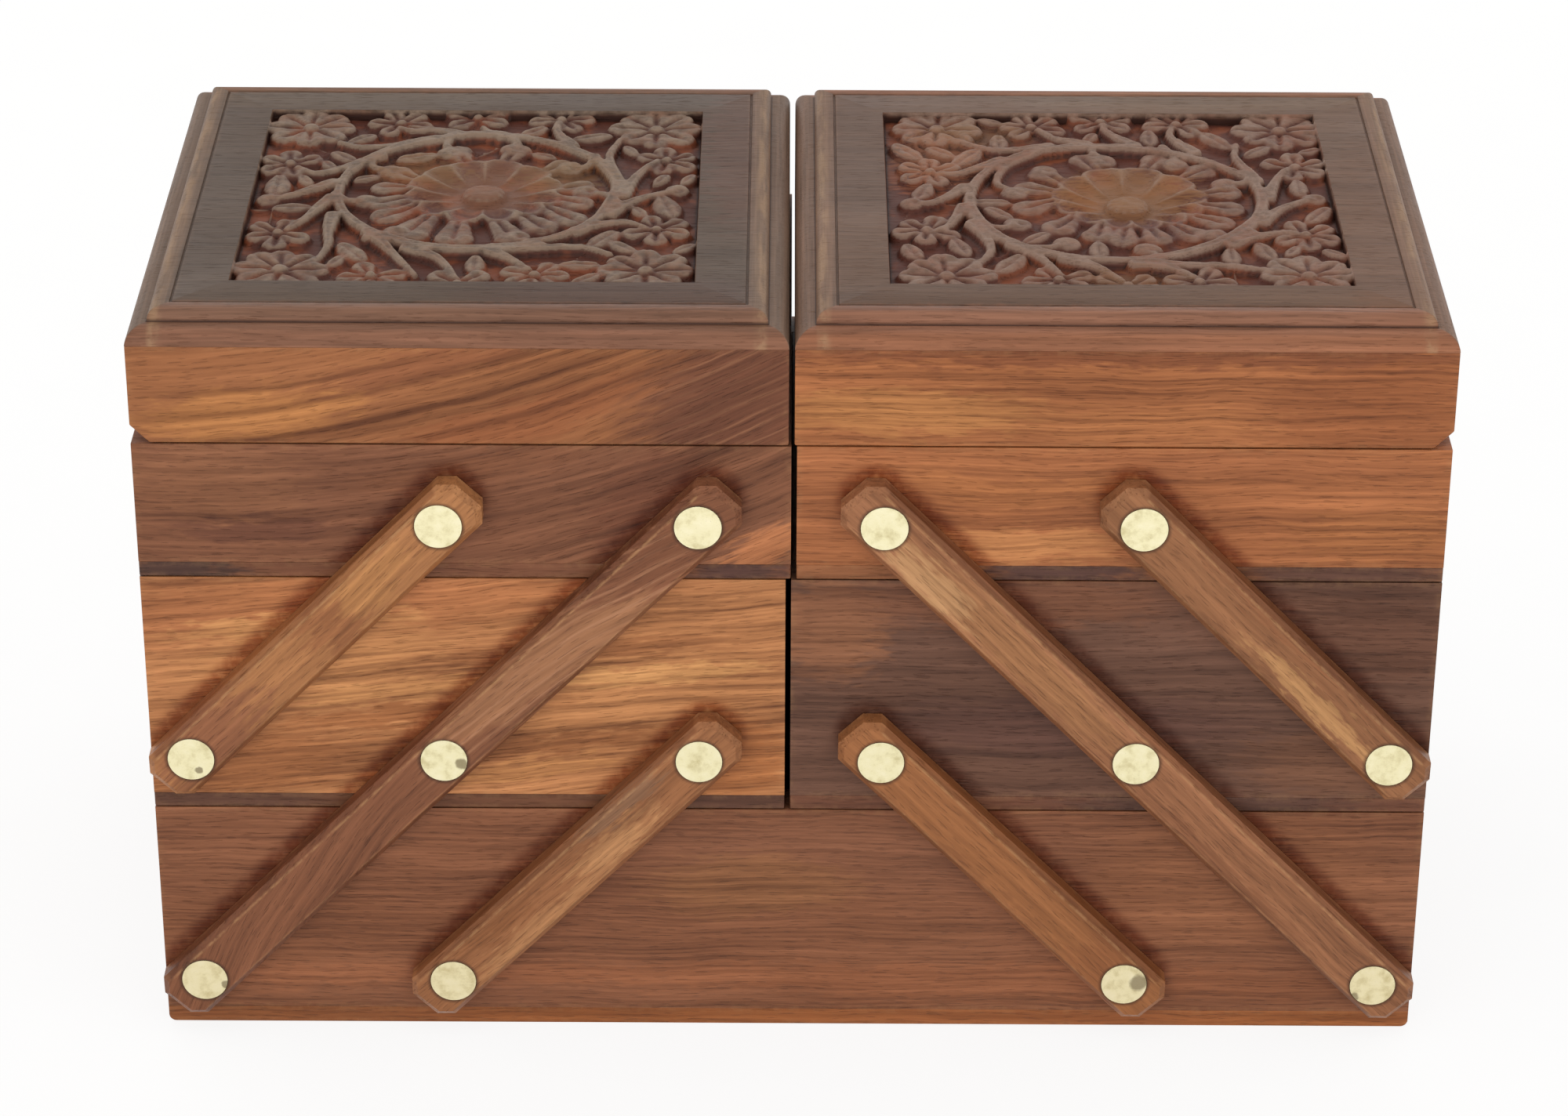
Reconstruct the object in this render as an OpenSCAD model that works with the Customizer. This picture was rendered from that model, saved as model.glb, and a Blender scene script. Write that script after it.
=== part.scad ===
// Cantilever jewelry box in rosewood, with brass discs let into its link arms.
// A full-width base carries two middle trays, and these carry two top trays with hinged lids.
// Each side swings up and outwards on six parallel arms, and its trays stay level.
// X runs to the right, Y to the back and Z up. The origin is under the middle of the closed box.

/* [Case] */
// Width of the closed box
case_width = 254; // [230:1:290]
// Depth of the box over its walls, without the arms
case_depth = 122; // [100:1:150]
// Height of the base with its bottom board
base_height = 51; // [44:0.2:64]
// Height of a middle tray with its bottom board
middle_height = 52; // [44:0.2:64]
// Height of a top tray with its bottom board
top_height = 28.8; // [26:0.2:40]
// Height of the rails of a lid
lid_height = 20.4; // [14:0.2:30]
// Thickness of the walls and rails
wall = 8; // [7:0.5:10]
// Thickness of the base's bottom board
base_board = 3.6; // [2.8:0.2:5]
// Radius of the lower edges at the base's ends
base_rounding = 1.5; // [0.5:0.1:2.5]
// Thickness of a tray's bottom board
tray_board = 3.2; // [2.4:0.2:5]
// Gap between one tier and the next
tier_gap = 0.2; // [0.15:0.05:0.6]
// Gap between the left and right trays
centre_gap = 1.1; // [0.6:0.1:2]
// Sideways step from the gap between the lids to the gaps between the trays
gap_step = 0.5; // [0:0.1:0.6]

/* [Felt lining] */
// Thickness of the felt on each floor
felt = 1.2; // [0.8:0.1:2.5]
// Gap between the felt and the walls
felt_gap = 0.4; // [0.3:0.1:1]

/* [Lid board] */
// Thickness of the moulded top board
board_thickness = 5.8; // [5:0.1:8]
// Radius of the quarter-round along its edge
round_radius = 3.4; // [2.4:0.1:3.8]
// Width of the ledge above the quarter-round
ledge_width = 0.6; // [0.4:0.1:1.2]
// Height of the small step at the back of that ledge, where the bead starts
step_height = 0.4; // [0.2:0.1:0.8]
// Distance from the board's edge to the groove inside the bead
quirk_inset = 7.9; // [7:0.1:10]
// Width of that groove
quirk_width = 0.5; // [0.3:0.1:0.8]
// Depth of that groove
quirk_depth = 0.4; // [0.2:0.1:0.6]

/* [Carving] */
// Distance from a lid's ends to the carved panel
carving_end_inset = 18.2; // [16:0.2:21]
// Distance from a lid's front and back to the carved panel
carving_side_inset = 17.9; // [13:0.1:20]
// Depth of the carved ground
carving_depth = 2.6; // [1:0.1:3.4]
// Radius of the vine ring, at the middle of its stem
ring_radius = 27; // [25:0.5:29]
// Width of the ring's stem
ring_stem = 3.4; // [2.4:0.2:4]
// Number of petals of the middle flower
middle_petals = 12; // [8:1:14]
// Radius of the middle flower over its petals
middle_flower_radius = 18; // [14:0.5:20]
// Radius of the boss in the middle flower
boss_radius = 5; // [3:0.5:6]
// Number of petals of a corner flower
corner_petals = 7; // [5:1:8]
// Radius of a corner flower over its petals
corner_flower_radius = 9; // [7:0.2:9.4]
// Number of petals of a border flower
border_petals = 5; // [4:1:6]
// Radius of a border flower over its petals
border_flower_radius = 5.8; // [4.6:0.2:6.4]
// Radius of a bud at the end of a tendril
bud_radius = 2.1; // [1.5:0.1:2.6]
// Width of a branch where it leaves the ring
branch_width = 2.6; // [1.8:0.2:3.2]
// Clear ground between the carved forms and the panel's edge
carving_margin = 0.8; // [0.4:0.1:1.5]

/* [Arms] */
// Width of an arm
arm_width = 12; // [11:0.5:14]
// Thickness of an arm
arm_thickness = 5; // [4:0.5:8]
// Length of an arm beyond its end pivots
arm_overhang = 8.6; // [6.5:0.1:9.5]
// Size of the cut corners at an arm's ends
arm_corner = 2.6; // [1.5:0.1:3.4]
// Bevel around an arm's outer face
arm_bevel = 1.2; // [0.3:0.1:1.3]
// Gap between an arm and the wall behind it
arm_gap = 0.15; // [0.1:0.05:0.5]
// Distance from the box's end to its outer pivots
outer_pivot_inset = 8.5; // [8:0.1:12]
// Distance from the box's middle to its inner pivots
inner_pivot_inset = 18; // [14:0.5:24]
// Height of the base's pivots above the underside of the base
base_pivot_height = 13.2; // [12:0.2:20]
// Height of a tray's pivots above the underside of the tray
tray_pivot_height = 13.8; // [12:0.2:17]

/* [Pivot pins] */
// Diameter of a pin's brass head, which shows as a disc in the arm
head_diameter = 9.2; // [7:0.1:9.4]
// Thickness of a pin's head
head_thickness = 1.6; // [1:0.1:2.4]
// Diameter of a pin's shank
shank_diameter = 4; // [3:0.1:5]
// Depth of a pin in its wall
pin_depth = 6; // [4:0.5:6.5]
// Radial clearance of an arm on its pins
pivot_clearance = 0.06; // [0.03:0.01:0.1]
// Clearance under a pin's head
head_clearance = 0.1; // [0.05:0.05:0.2]
// Radial clearance of a pin or screw that is fixed in its hole
fixed_clearance = 0.02; // [0.01:0.01:0.05]

/* [Lid hinges] */
// Distance from the front or back wall's inner face to the hinge
hinge_setback = 9; // [4:1:14]
// Length of a hinge
hinge_length = 18; // [14:1:24]
// Length of the lid's knuckle, in the middle of a hinge
lid_knuckle = 6; // [4:0.5:8]
// Radius of the hinge barrel
barrel_radius = 1.25; // [1.1:0.05:1.35]
// Distance from the box's end to the hinge axis
hinge_inset = 1.6; // [1.5:0.05:1.7]
// Thickness of a leaf
leaf_thickness = 0.8; // [0.6:0.1:1]
// Reach of a leaf from the hinge axis
leaf_reach = 5.2; // [4.8:0.1:5.3]
// Radius of the hinge pin
hinge_pin_radius = 0.6; // [0.4:0.05:0.7]
// Clearance between the parts of a hinge that turn, and around the barrel
hinge_clearance = 0.25; // [0.15:0.05:0.3]
// Radius of a hinge screw's head
screw_head_radius = 1.2; // [0.9:0.1:1.4]
// Radius of a hinge screw's shank
screw_radius = 0.7; // [0.5:0.05:0.8]
// Length of a hinge screw
screw_length = 6; // [4:0.5:8]
// Distance from a hinge's ends to its screws
screw_end_inset = 3.4; // [2:0.1:4]

/* [Hidden] */
$fn = 48;
eps = 1;

SIDES = ["left", "right"];
FACES = ["front", "back"];
SIDE_NODES = [
    "middle_tray_bottom", "middle_tray_front_wall", "middle_tray_back_wall",
    "middle_tray_end_walls", "middle_tray_lining", "middle_tray_pivot_pins",
    "top_tray_bottom", "top_tray_front_wall", "top_tray_back_wall",
    "top_tray_end_walls", "top_tray_lining", "top_tray_pivot_pins",
    "lid_front_rail", "lid_back_rail", "lid_end_rails", "lid_carved_board",
    "long_arm_front", "long_arm_back", "lower_arm_front", "lower_arm_back",
    "upper_arm_front", "upper_arm_back",
    "hinge_tray_leaves", "hinge_lid_leaves", "hinge_pins",
    "hinge_tray_screws", "hinge_lid_screws"
];
BASE_NODES = [
    "base_bottom", "base_front_wall", "base_back_wall",
    "base_end_walls", "base_lining", "base_pivot_pins"
];

// Heights at which the tiers start
half_width = case_width / 2;
half_depth = case_depth / 2;
middle_start = base_height + tier_gap;
top_start = middle_start + middle_height + tier_gap;
lid_start = top_start + top_height + tier_gap;
board_start = lid_start + lid_height;

// Distances of the inner ends from the middle. The top trays' gap lies a step to the right of the
// lids' gap and the middle trays' gap a step to the left, so no light shows through the closed box.
lid_inner = centre_gap / 2;
function top_inner(side) = lid_inner + (side == "right" ? gap_step : -gap_step);
function middle_inner(side) = lid_inner - (side == "right" ? gap_step : -gap_step);

// The long arm is straight, so its lean follows from the heights and places of its end pivots
base_pivot_z = base_pivot_height;
middle_pivot_z = middle_start + tray_pivot_height;
top_pivot_z = top_start + tray_pivot_height;
outer_pivot_x = half_width - outer_pivot_inset;
lean = atan2(top_pivot_z - base_pivot_z, outer_pivot_x - inner_pivot_inset);
lower_pitch = (middle_pivot_z - base_pivot_z) / sin(lean);
upper_pitch = (top_pivot_z - middle_pivot_z) / sin(lean);
lower_run = lower_pitch * cos(lean);
upper_run = upper_pitch * cos(lean);

// Pivots of the right side as [x, z], outermost first
base_pivots = [
    [outer_pivot_x, base_pivot_z],
    [inner_pivot_inset + lower_run, base_pivot_z]
];
middle_pivots = [
    [outer_pivot_x, middle_pivot_z],
    [outer_pivot_x - lower_run, middle_pivot_z],
    [inner_pivot_inset, middle_pivot_z]
];
top_pivots = [
    [outer_pivot_x - upper_run, top_pivot_z],
    [inner_pivot_inset, top_pivot_z]
];

// Insets and heights of the lid board's moulding
ledge_inset = round_radius + ledge_width;
bead_start = round_radius + step_height;
bead_radius = board_thickness - bead_start;

// The hinge axis lies in the gap between lid and tray
leaf_level = tier_gap / 2;
leaf_start = barrel_radius + hinge_clearance;
hinge_x = half_width - hinge_inset;
hinge_y = half_depth - wall - hinge_setback - hinge_length / 2;
hinge_z = lid_start - leaf_level;
screw_x = -(leaf_start + leaf_reach) / 2;
screw_y = hinge_length / 2 - screw_end_inset;
screw_head_height = screw_head_radius - screw_radius;
screw_slot = screw_head_radius / 3;
outer_knuckle = (hinge_length - lid_knuckle) / 2 - hinge_clearance;

// Knuckles of each leaf, as the places of their middles along the axis and their lengths
tray_knuckles = [
    [-(hinge_length - outer_knuckle) / 2, outer_knuckle],
    [(hinge_length - outer_knuckle) / 2, outer_knuckle]
];
lid_knuckles = [[0, lid_knuckle]];

// The relief's slope clears the hinge barrel as the leaves do
lid_relief = hinge_inset + leaf_start * sqrt(2) - leaf_level;

// Size of the carved panel, and places of the forms around its vine ring
carving_length = half_width - lid_inner - 2 * carving_end_inset;
carving_width = case_depth - 2 * carving_side_inset;
corner_x = carving_length / 2 - carving_margin - corner_flower_radius;
corner_y = carving_width / 2 - carving_margin - corner_flower_radius;
border_x = carving_length / 2 - carving_margin - border_flower_radius;
border_y = carving_width / 2 - carving_margin - border_flower_radius;
bud_x = carving_length / 2 - carving_margin - 2 * bud_radius;
bud_y = carving_width / 2 - carving_margin - 2 * bud_radius;
border_shift = 14;
corner_places = [for (sx = [-1, 1], sy = [-1, 1]) [sx * corner_x, sy * corner_y]];
border_places = [
    for (sx = [-1, 1], sy = [-1, 1], way = [0, 1])
        way == 0 ? [sx * border_shift, sy * border_y] : [sx * border_x, sy * border_shift]
];
bud_places = [[0, bud_y], [-bud_x, 0], [0, -bud_y], [bud_x, 0]];
inner_buds = 8;
inner_bud_place = (middle_flower_radius + ring_radius - ring_stem / 2) / 2;

// Petals overlap their neighbours a little, and grooves of this depth and half width part them
petal_overlap = 1.06;
groove_depth = 0.7;
groove_tip = 0.2;
groove_root = 0.45;

// A branch leaves the ring this far round behind its flower, and bends outwards nearer to it
branch_back = 38;
branch_bend = 14;
branch_rise = 5;
branch_taper = 0.6;
branch_steps = 6;

wood_dark = [0.27, 0.16, 0.11];
wood_brown = [0.50, 0.28, 0.17];
wood_red = [0.43, 0.22, 0.15];
wood_gold = [0.68, 0.42, 0.22];
wood_purple = [0.33, 0.19, 0.16];
wood_grey = [0.40, 0.31, 0.26];
brass = [0.87, 0.84, 0.62];
felt_red = [0.45, 0.06, 0.10];

// The two sides are cut from different boards
function middle_tone(side) = side == "left" ? wood_gold : wood_purple;
function top_tone(side) = side == "left" ? wood_red : wood_brown;
function lid_tone(side) = side == "left" ? wood_brown : wood_gold;

// Everything is drawn for the front of the right side and mirrored from there
module on(side, face = "front") {
    if (side == "left") mirror([1, 0, 0]) facing(face) children();
    else facing(face) children();
}

module facing(face) {
    if (face == "back") mirror([0, 1, 0]) children();
    else children();
}

// A block between two corners
module block(low, high) {
    translate(low) cube(high - low);
}

// Turns a shape so that its Z points out of the front wall, with its origin on the wall
module on_front_wall(pivot) {
    translate([pivot[0], -half_depth, pivot[1]]) rotate([90, 0, 0]) children();
}

// Holes in a front wall for the pins at these pivots
module pin_holes(pivots) {
    depth = pin_depth + head_clearance;
    for (pivot = pivots)
        on_front_wall(pivot)
            translate([0, 0, -depth]) cylinder(d = shank_diameter + 2 * fixed_clearance, h = depth + eps);
}

// Pins through the arms on a front wall, each with its head flush with the arm's face
module pins(pivots) {
    top = arm_gap + arm_thickness;
    for (pivot = pivots)
        on_front_wall(pivot) {
            translate([0, 0, -pin_depth]) cylinder(d = shank_diameter, h = pin_depth + top);
            translate([0, 0, top - head_thickness]) cylinder(d = head_diameter, h = head_thickness);
        }
}

module base_pivot_pins() {
    color(brass)
        for (side = SIDES, face = FACES) on(side, face) pins(base_pivots);
}

module tray_pivot_pins(side, pivots) {
    color(brass)
        for (face = FACES) on(side, face) pins(pivots);
}

// Base
module base_bottom() {
    inner = half_width - base_rounding;
    color(wood_brown)
        rotate([90, 0, 0])
            translate([0, 0, -half_depth])
                linear_extrude(case_depth) {
                    translate([-inner, 0]) square([2 * inner, base_board]);
                    translate([-half_width, base_rounding]) square([case_width, base_board - base_rounding]);
                    for (x = [-inner, inner]) translate([x, base_rounding]) circle(base_rounding);
                }
}

module base_long_wall(face) {
    color(wood_red)
        facing(face)
            difference() {
                block([-half_width, -half_depth, base_board], [half_width, wall - half_depth, base_height]);
                for (side = SIDES) on(side) pin_holes(base_pivots);
            }
}

module base_end_walls() {
    color(wood_red)
        for (side = SIDES)
            on(side)
                block([half_width - wall, wall - half_depth, base_board],
                      [half_width, half_depth - wall, base_height]);
}

module base_lining() {
    x = half_width - wall - felt_gap;
    y = half_depth - wall - felt_gap;
    color(felt_red)
        block([-x, -y, base_board], [x, y, base_board + felt]);
}

// Trays and lids. The shell of each runs from its inner end to the end of the box.
module long_block(inner, bottom, top) {
    block([inner, -half_depth, bottom], [half_width, wall - half_depth, top]);
}

module end_blocks(inner, bottom, top) {
    block([inner, wall - half_depth, bottom], [inner + wall, half_depth - wall, top]);
    block([half_width - wall, wall - half_depth, bottom], [half_width, half_depth - wall, top]);
}

module tray_floor(side, start, inner) {
    color(wood_dark)
        on(side)
            block([inner, -half_depth, start], [half_width, half_depth, start + tray_board]);
}

module tray_felt(side, start, inner) {
    level = start + tray_board;
    inset = wall + felt_gap;
    color(felt_red)
        on(side)
            block([inner + inset, inset - half_depth, level],
                  [half_width - inset, half_depth - inset, level + felt]);
}

module middle_tray_long_wall(side, face) {
    color(middle_tone(side))
        on(side, face)
            difference() {
                long_block(middle_inner(side), middle_start + tray_board, middle_start + middle_height);
                pin_holes(middle_pivots);
            }
}

module middle_tray_end_walls(side) {
    color(middle_tone(side))
        on(side)
            end_blocks(middle_inner(side), middle_start + tray_board, middle_start + middle_height);
}

module top_tray_long_wall(side, face) {
    color(top_tone(side))
        on(side, face)
            difference() {
                long_block(top_inner(side), top_start + tray_board, top_start + top_height);
                pin_holes(top_pivots);
            }
}

module top_tray_end_walls(side) {
    color(top_tone(side))
        on(side)
            difference() {
                end_blocks(top_inner(side), top_start + tray_board, top_start + top_height);
                at_hinges() tray_mortise();
            }
}

// The relief lets the lid swing past upright before its edge meets the tray
module relief() {
    side = lid_relief * sqrt(2);
    translate([half_width, 0, lid_start])
        rotate([0, 45, 0]) cube([side, case_depth + 2 * eps, side], center = true);
}

module lid_long_rail(side, face) {
    color(lid_tone(side))
        on(side, face)
            difference() {
                long_block(lid_inner, lid_start, board_start);
                relief();
            }
}

module lid_end_rails(side) {
    color(lid_tone(side))
        on(side)
            difference() {
                end_blocks(lid_inner, lid_start, board_start);
                relief();
                at_hinges() lid_mortise();
            }
}

// Half of the board's section: quarter-round, ledge and step, and a quarter-round bead up to the top
module moulding_half(length) {
    half = length / 2;
    bead_x = half - ledge_inset - bead_radius;
    square([half - round_radius, round_radius]);
    intersection() {
        translate([half - round_radius, 0]) circle(round_radius);
        square([half, round_radius]);
    }
    square([half - ledge_inset, bead_start]);
    square([bead_x, board_thickness]);
    intersection() {
        translate([bead_x, bead_start]) circle(bead_radius);
        square([half, board_thickness]);
    }
}

module moulding(length, run) {
    rotate([90, 0, 0])
        translate([0, 0, -run / 2])
            linear_extrude(run) {
                moulding_half(length);
                mirror([1, 0]) moulding_half(length);
            }
}

// A narrow groove runs around the board between its bead and its flat border
module quirk(length, run) {
    translate([0, 0, board_thickness - quirk_depth])
        linear_extrude(quirk_depth + eps)
            difference() {
                square([length - 2 * quirk_inset, run - 2 * quirk_inset], center = true);
                square(
                    [length - 2 * quirk_inset - 2 * quirk_width, run - 2 * quirk_inset - 2 * quirk_width],
                    center = true
                );
            }
}

module lid_carved_board(side) {
    length = half_width - lid_inner;
    color(wood_grey)
        on(side)
            translate([lid_inner + length / 2, 0, board_start])
                difference() {
                    intersection() {
                        moulding(length, case_depth);
                        rotate([0, 0, 90]) moulding(case_depth, length);
                    }
                    quirk(length, case_depth);
                    on(side) carving();
                }
}

// The ground is cut away around the raised forms, and shallow grooves part the petals
module carving() {
    translate([0, 0, board_thickness - carving_depth])
        linear_extrude(carving_depth + eps)
            difference() {
                square([carving_length, carving_width], center = true);
                raised_forms();
            }
    translate([0, 0, board_thickness - groove_depth])
        linear_extrude(groove_depth + eps) {
            petal_grooves(middle_petals, middle_flower_radius, boss_radius);
            for (place = corner_places)
                translate(place) petal_grooves(corner_petals, corner_flower_radius, bud_radius);
            for (place = border_places)
                translate(place) petal_grooves(border_petals, border_flower_radius, bud_radius);
        }
}

module raised_forms() {
    difference() {
        circle(ring_radius + ring_stem / 2);
        circle(ring_radius - ring_stem / 2);
    }
    flower(middle_petals, middle_flower_radius);
    for (place = corner_places) {
        translate(place) flower(corner_petals, corner_flower_radius);
        branch(place, branch_rise, branch_width);
    }
    for (place = border_places) {
        translate(place) flower(border_petals, border_flower_radius);
        branch(place, branch_rise, branch_width);
    }
    for (place = bud_places) {
        translate(place) circle(bud_radius);
        branch(place, branch_rise, branch_width);
    }
    for (i = [0 : inner_buds - 1]) {
        angle = i * 360 / inner_buds;
        place = inner_bud_place * [cos(angle), sin(angle)];
        translate(place) circle(bud_radius);
        branch(place, -branch_rise / 2, branch_width * branch_taper);
    }
}

// A flower's petals are round lobes around a disc
function lobe_radius(petals, radius) =
    let (ratio = petal_overlap * sin(180 / petals)) radius * ratio / (1 + ratio);

module flower(petals, radius) {
    lobe = lobe_radius(petals, radius);
    circle(radius - lobe);
    for (i = [0 : petals - 1])
        rotate(i * 360 / petals) translate([radius - lobe, 0]) circle(lobe);
}

module petal_grooves(petals, radius, start) {
    end = radius - lobe_radius(petals, radius);
    for (i = [0 : petals - 1])
        rotate((i + 0.5) * 360 / petals)
            polygon([[start, -groove_tip], [end, -groove_root], [end, groove_root], [start, groove_tip]]);
}

// A tapered branch that curves from the ring to a flower or bud
module branch(place, rise, width) {
    angle = atan2(place[1], place[0]);
    start = ring_radius * [cos(angle - branch_back), sin(angle - branch_back)];
    bend = (ring_radius + rise) * [cos(angle - branch_bend), sin(angle - branch_bend)];
    half_widths = [for (i = [0 : branch_steps]) width / 2 * (1 - (1 - branch_taper) * i / branch_steps)];
    polygon(concat(
        [for (i = [0 : branch_steps]) beside(start, bend, place, i, half_widths[i])],
        [for (i = [branch_steps : -1 : 0]) beside(start, bend, place, i, -half_widths[i])]
    ));
}

// Points to the left of a curve from a to c that heads for b first
function beside(a, b, c, step, offset) =
    let (
        t = step / branch_steps,
        point = (1 - t) * (1 - t) * a + 2 * t * (1 - t) * b + t * t * c,
        way = (1 - t) * (b - a) + t * (c - b)
    )
    point + offset * [-way[1], way[0]] / norm(way);

// Arms. An arm lies along X from its lowest pivot, with its outer face up.
function arm_outline(reach, inset) =
    let (
        end = arm_overhang - inset,
        half = arm_width / 2 - inset,
        corner = arm_corner - inset * (2 - sqrt(2))
    )
    [
        [-end, corner - half], [corner - end, -half],
        [reach + end - corner, -half], [reach + end, corner - half],
        [reach + end, half - corner], [reach + end - corner, half],
        [corner - end, half], [-end, half - corner]
    ];

module arm_blank(reach) {
    hull() {
        linear_extrude(arm_thickness - arm_bevel) polygon(arm_outline(reach, 0));
        linear_extrude(arm_thickness) polygon(arm_outline(reach, arm_bevel));
    }
}

// An arm with a bore and a seat for the pin's head at each distance along it
module arm(side, face, pivot, distances) {
    seat = head_thickness + head_clearance;
    color(wood_brown)
        on(side, face)
            on_front_wall(pivot)
                translate([0, 0, arm_gap])
                    rotate([0, 0, 180 - lean])
                        difference() {
                            arm_blank(max(distances));
                            for (distance = distances)
                                translate([distance, 0, 0]) {
                                    translate([0, 0, -eps])
                                        cylinder(d = shank_diameter + 2 * pivot_clearance,
                                                 h = arm_thickness + 2 * eps);
                                    translate([0, 0, arm_thickness - seat])
                                        cylinder(d = head_diameter + 2 * pivot_clearance, h = seat + eps);
                                }
                        }
}

module long_arm(side, face) {
    arm(side, face, base_pivots[0], [0, lower_pitch, lower_pitch + upper_pitch]);
}

module lower_arm(side, face) {
    arm(side, face, base_pivots[1], [0, lower_pitch]);
}

module upper_arm(side, face) {
    arm(side, face, middle_pivots[0], [0, upper_pitch]);
}

// Lid hinges. Each is drawn with its axis along Y through the origin, and the box towards -X.
module at_hinges() {
    for (y = [-hinge_y, hinge_y])
        translate([hinge_x, y, hinge_z]) children();
}

module at_screws() {
    for (y = [-screw_y, screw_y])
        translate([screw_x, y, -leaf_level]) children();
}

module rod(place, length, radius) {
    translate([0, place + length / 2, 0]) rotate([90, 0, 0]) cylinder(r = radius, h = length);
}

// A leaf that lies in the tray, with its knuckles around the axis
module leaf(knuckles, bore_clearance) {
    low = -leaf_level - leaf_thickness;
    difference() {
        union() {
            block([-leaf_reach, -hinge_length / 2, low], [-leaf_start, hinge_length / 2, -leaf_level]);
            for (knuckle = knuckles) {
                half = knuckle[1] / 2;
                block([-leaf_start, knuckle[0] - half, low], [0, knuckle[0] + half, -leaf_level]);
                rod(knuckle[0], knuckle[1], barrel_radius);
            }
        }
        rod(0, hinge_length + 2 * eps, hinge_pin_radius + bore_clearance);
        at_screws() screw_shape(fixed_clearance);
    }
}

// A countersunk screw that points down, with the top of its head at the origin
module screw_shape(clearance) {
    length = screw_length + clearance;
    translate([0, 0, -length]) cylinder(r = screw_radius + clearance, h = length);
    translate([0, 0, -screw_head_height])
        cylinder(r1 = screw_radius + clearance, r2 = screw_head_radius + clearance, h = screw_head_height);
}

module screw() {
    difference() {
        screw_shape(0);
        cube([2 * screw_head_radius + eps, screw_slot, screw_slot], center = true);
    }
}

// Room in the tray's end wall for a hinge, open to the outside of the wall
module tray_mortise() {
    half = hinge_length / 2 + fixed_clearance;
    block([-leaf_reach - fixed_clearance, -half, -leaf_level - leaf_thickness], [0, half, eps]);
    block([-leaf_start, -half, -leaf_start], [hinge_inset + eps, half, eps]);
    at_screws() screw_shape(fixed_clearance);
}

// The lid's relief already clears the barrel, so its rail has room for the leaf only
module lid_mortise() {
    half = hinge_length / 2 + fixed_clearance;
    block([-leaf_reach - fixed_clearance, -half, -eps], [0, half, leaf_level + leaf_thickness]);
    mirror([0, 0, 1]) at_screws() screw_shape(fixed_clearance);
}

module hinge_tray_leaves(side) {
    color(brass)
        on(side) at_hinges() leaf(tray_knuckles, fixed_clearance);
}

module hinge_lid_leaves(side) {
    color(brass)
        on(side) at_hinges() mirror([0, 0, 1]) leaf(lid_knuckles, pivot_clearance);
}

module hinge_pins(side) {
    color(brass)
        on(side) at_hinges() rod(0, hinge_length, hinge_pin_radius);
}

module hinge_tray_screws(side) {
    color(brass)
        on(side) at_hinges() at_screws() screw();
}

module hinge_lid_screws(side) {
    color(brass)
        on(side) at_hinges() mirror([0, 0, 1]) at_screws() screw();
}

base_bottom();
base_long_wall("front");  // base_front_wall
base_long_wall("back");  // base_back_wall
base_end_walls();
base_lining();
base_pivot_pins();

for (s = SIDES) {
    tray_floor(s, middle_start, middle_inner(s));
    middle_tray_long_wall(s, "front");
    middle_tray_long_wall(s, "back");
    middle_tray_end_walls(s);
    tray_felt(s, middle_start, middle_inner(s));
    tray_pivot_pins(s, middle_pivots);
    tray_floor(s, top_start, top_inner(s));
    top_tray_long_wall(s, "front");
    top_tray_long_wall(s, "back");
    top_tray_end_walls(s);
    tray_felt(s, top_start, top_inner(s));
    tray_pivot_pins(s, top_pivots);
    lid_long_rail(s, "front");
    lid_long_rail(s, "back");
    lid_end_rails(s);
    lid_carved_board(s);
    long_arm(s, "front");
    long_arm(s, "back");
    lower_arm(s, "front");
    lower_arm(s, "back");
    upper_arm(s, "front");
    upper_arm(s, "back");
    hinge_tray_leaves(s);
    hinge_lid_leaves(s);
    hinge_pins(s);
    hinge_tray_screws(s);
    hinge_lid_screws(s);
}
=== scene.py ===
import itertools
import math

import bpy
import numpy as np
from mathutils import Matrix, Vector


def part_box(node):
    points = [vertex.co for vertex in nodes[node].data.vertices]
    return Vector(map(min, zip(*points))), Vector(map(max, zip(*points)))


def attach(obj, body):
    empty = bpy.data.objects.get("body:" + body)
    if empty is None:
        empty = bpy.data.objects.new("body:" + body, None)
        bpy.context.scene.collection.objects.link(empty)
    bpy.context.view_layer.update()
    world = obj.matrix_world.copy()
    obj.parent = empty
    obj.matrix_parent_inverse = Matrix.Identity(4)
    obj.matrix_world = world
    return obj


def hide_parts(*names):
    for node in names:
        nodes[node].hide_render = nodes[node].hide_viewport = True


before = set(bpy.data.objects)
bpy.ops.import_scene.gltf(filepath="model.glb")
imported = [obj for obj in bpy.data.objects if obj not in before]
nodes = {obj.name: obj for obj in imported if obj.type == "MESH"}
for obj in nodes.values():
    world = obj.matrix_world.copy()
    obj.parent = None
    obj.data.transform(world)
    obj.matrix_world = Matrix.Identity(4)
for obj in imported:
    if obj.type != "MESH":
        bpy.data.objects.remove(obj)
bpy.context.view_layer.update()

# Sizes that the dressed pieces share with the solids, in millimetres
BOARD_THICKNESS = 5.8
PANEL = (90.05, 86.2)  # width and depth of the carving
QUIRK_INSET = 7.9
QUIRK_WIDTH = 0.5
QUIRK_DEPTH = 0.4
ARM_LEAN = math.radians(45.9805)
ARM_WIDTH = 12.0
ARM_THICKNESS = 5.0
ARM_OVERHANG = 8.6
ARM_BEVEL = 1.2
DISC_RADIUS = 4.6
PINS = {
    "A": (118.5, 13.2), "B": (68.443, 65.0), "C": (18.0, 117.2), "E": (68.057, 13.2),
    "F": (18.0, 65.0), "G": (118.5, 65.0), "H": (68.057, 117.2),
}

# Tones of rubbed arrises and worn mouldings, of dirt, and of painted shade with dirt in hollows
PALE = (196, 150, 104)
WORN = (176, 142, 108)
GRIME = (0.030, 0.014, 0.008, 1.0)
HOLLOW_SHADE_AND_DIRT = (0.030, 0.010, 0.006, 1.0)


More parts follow.
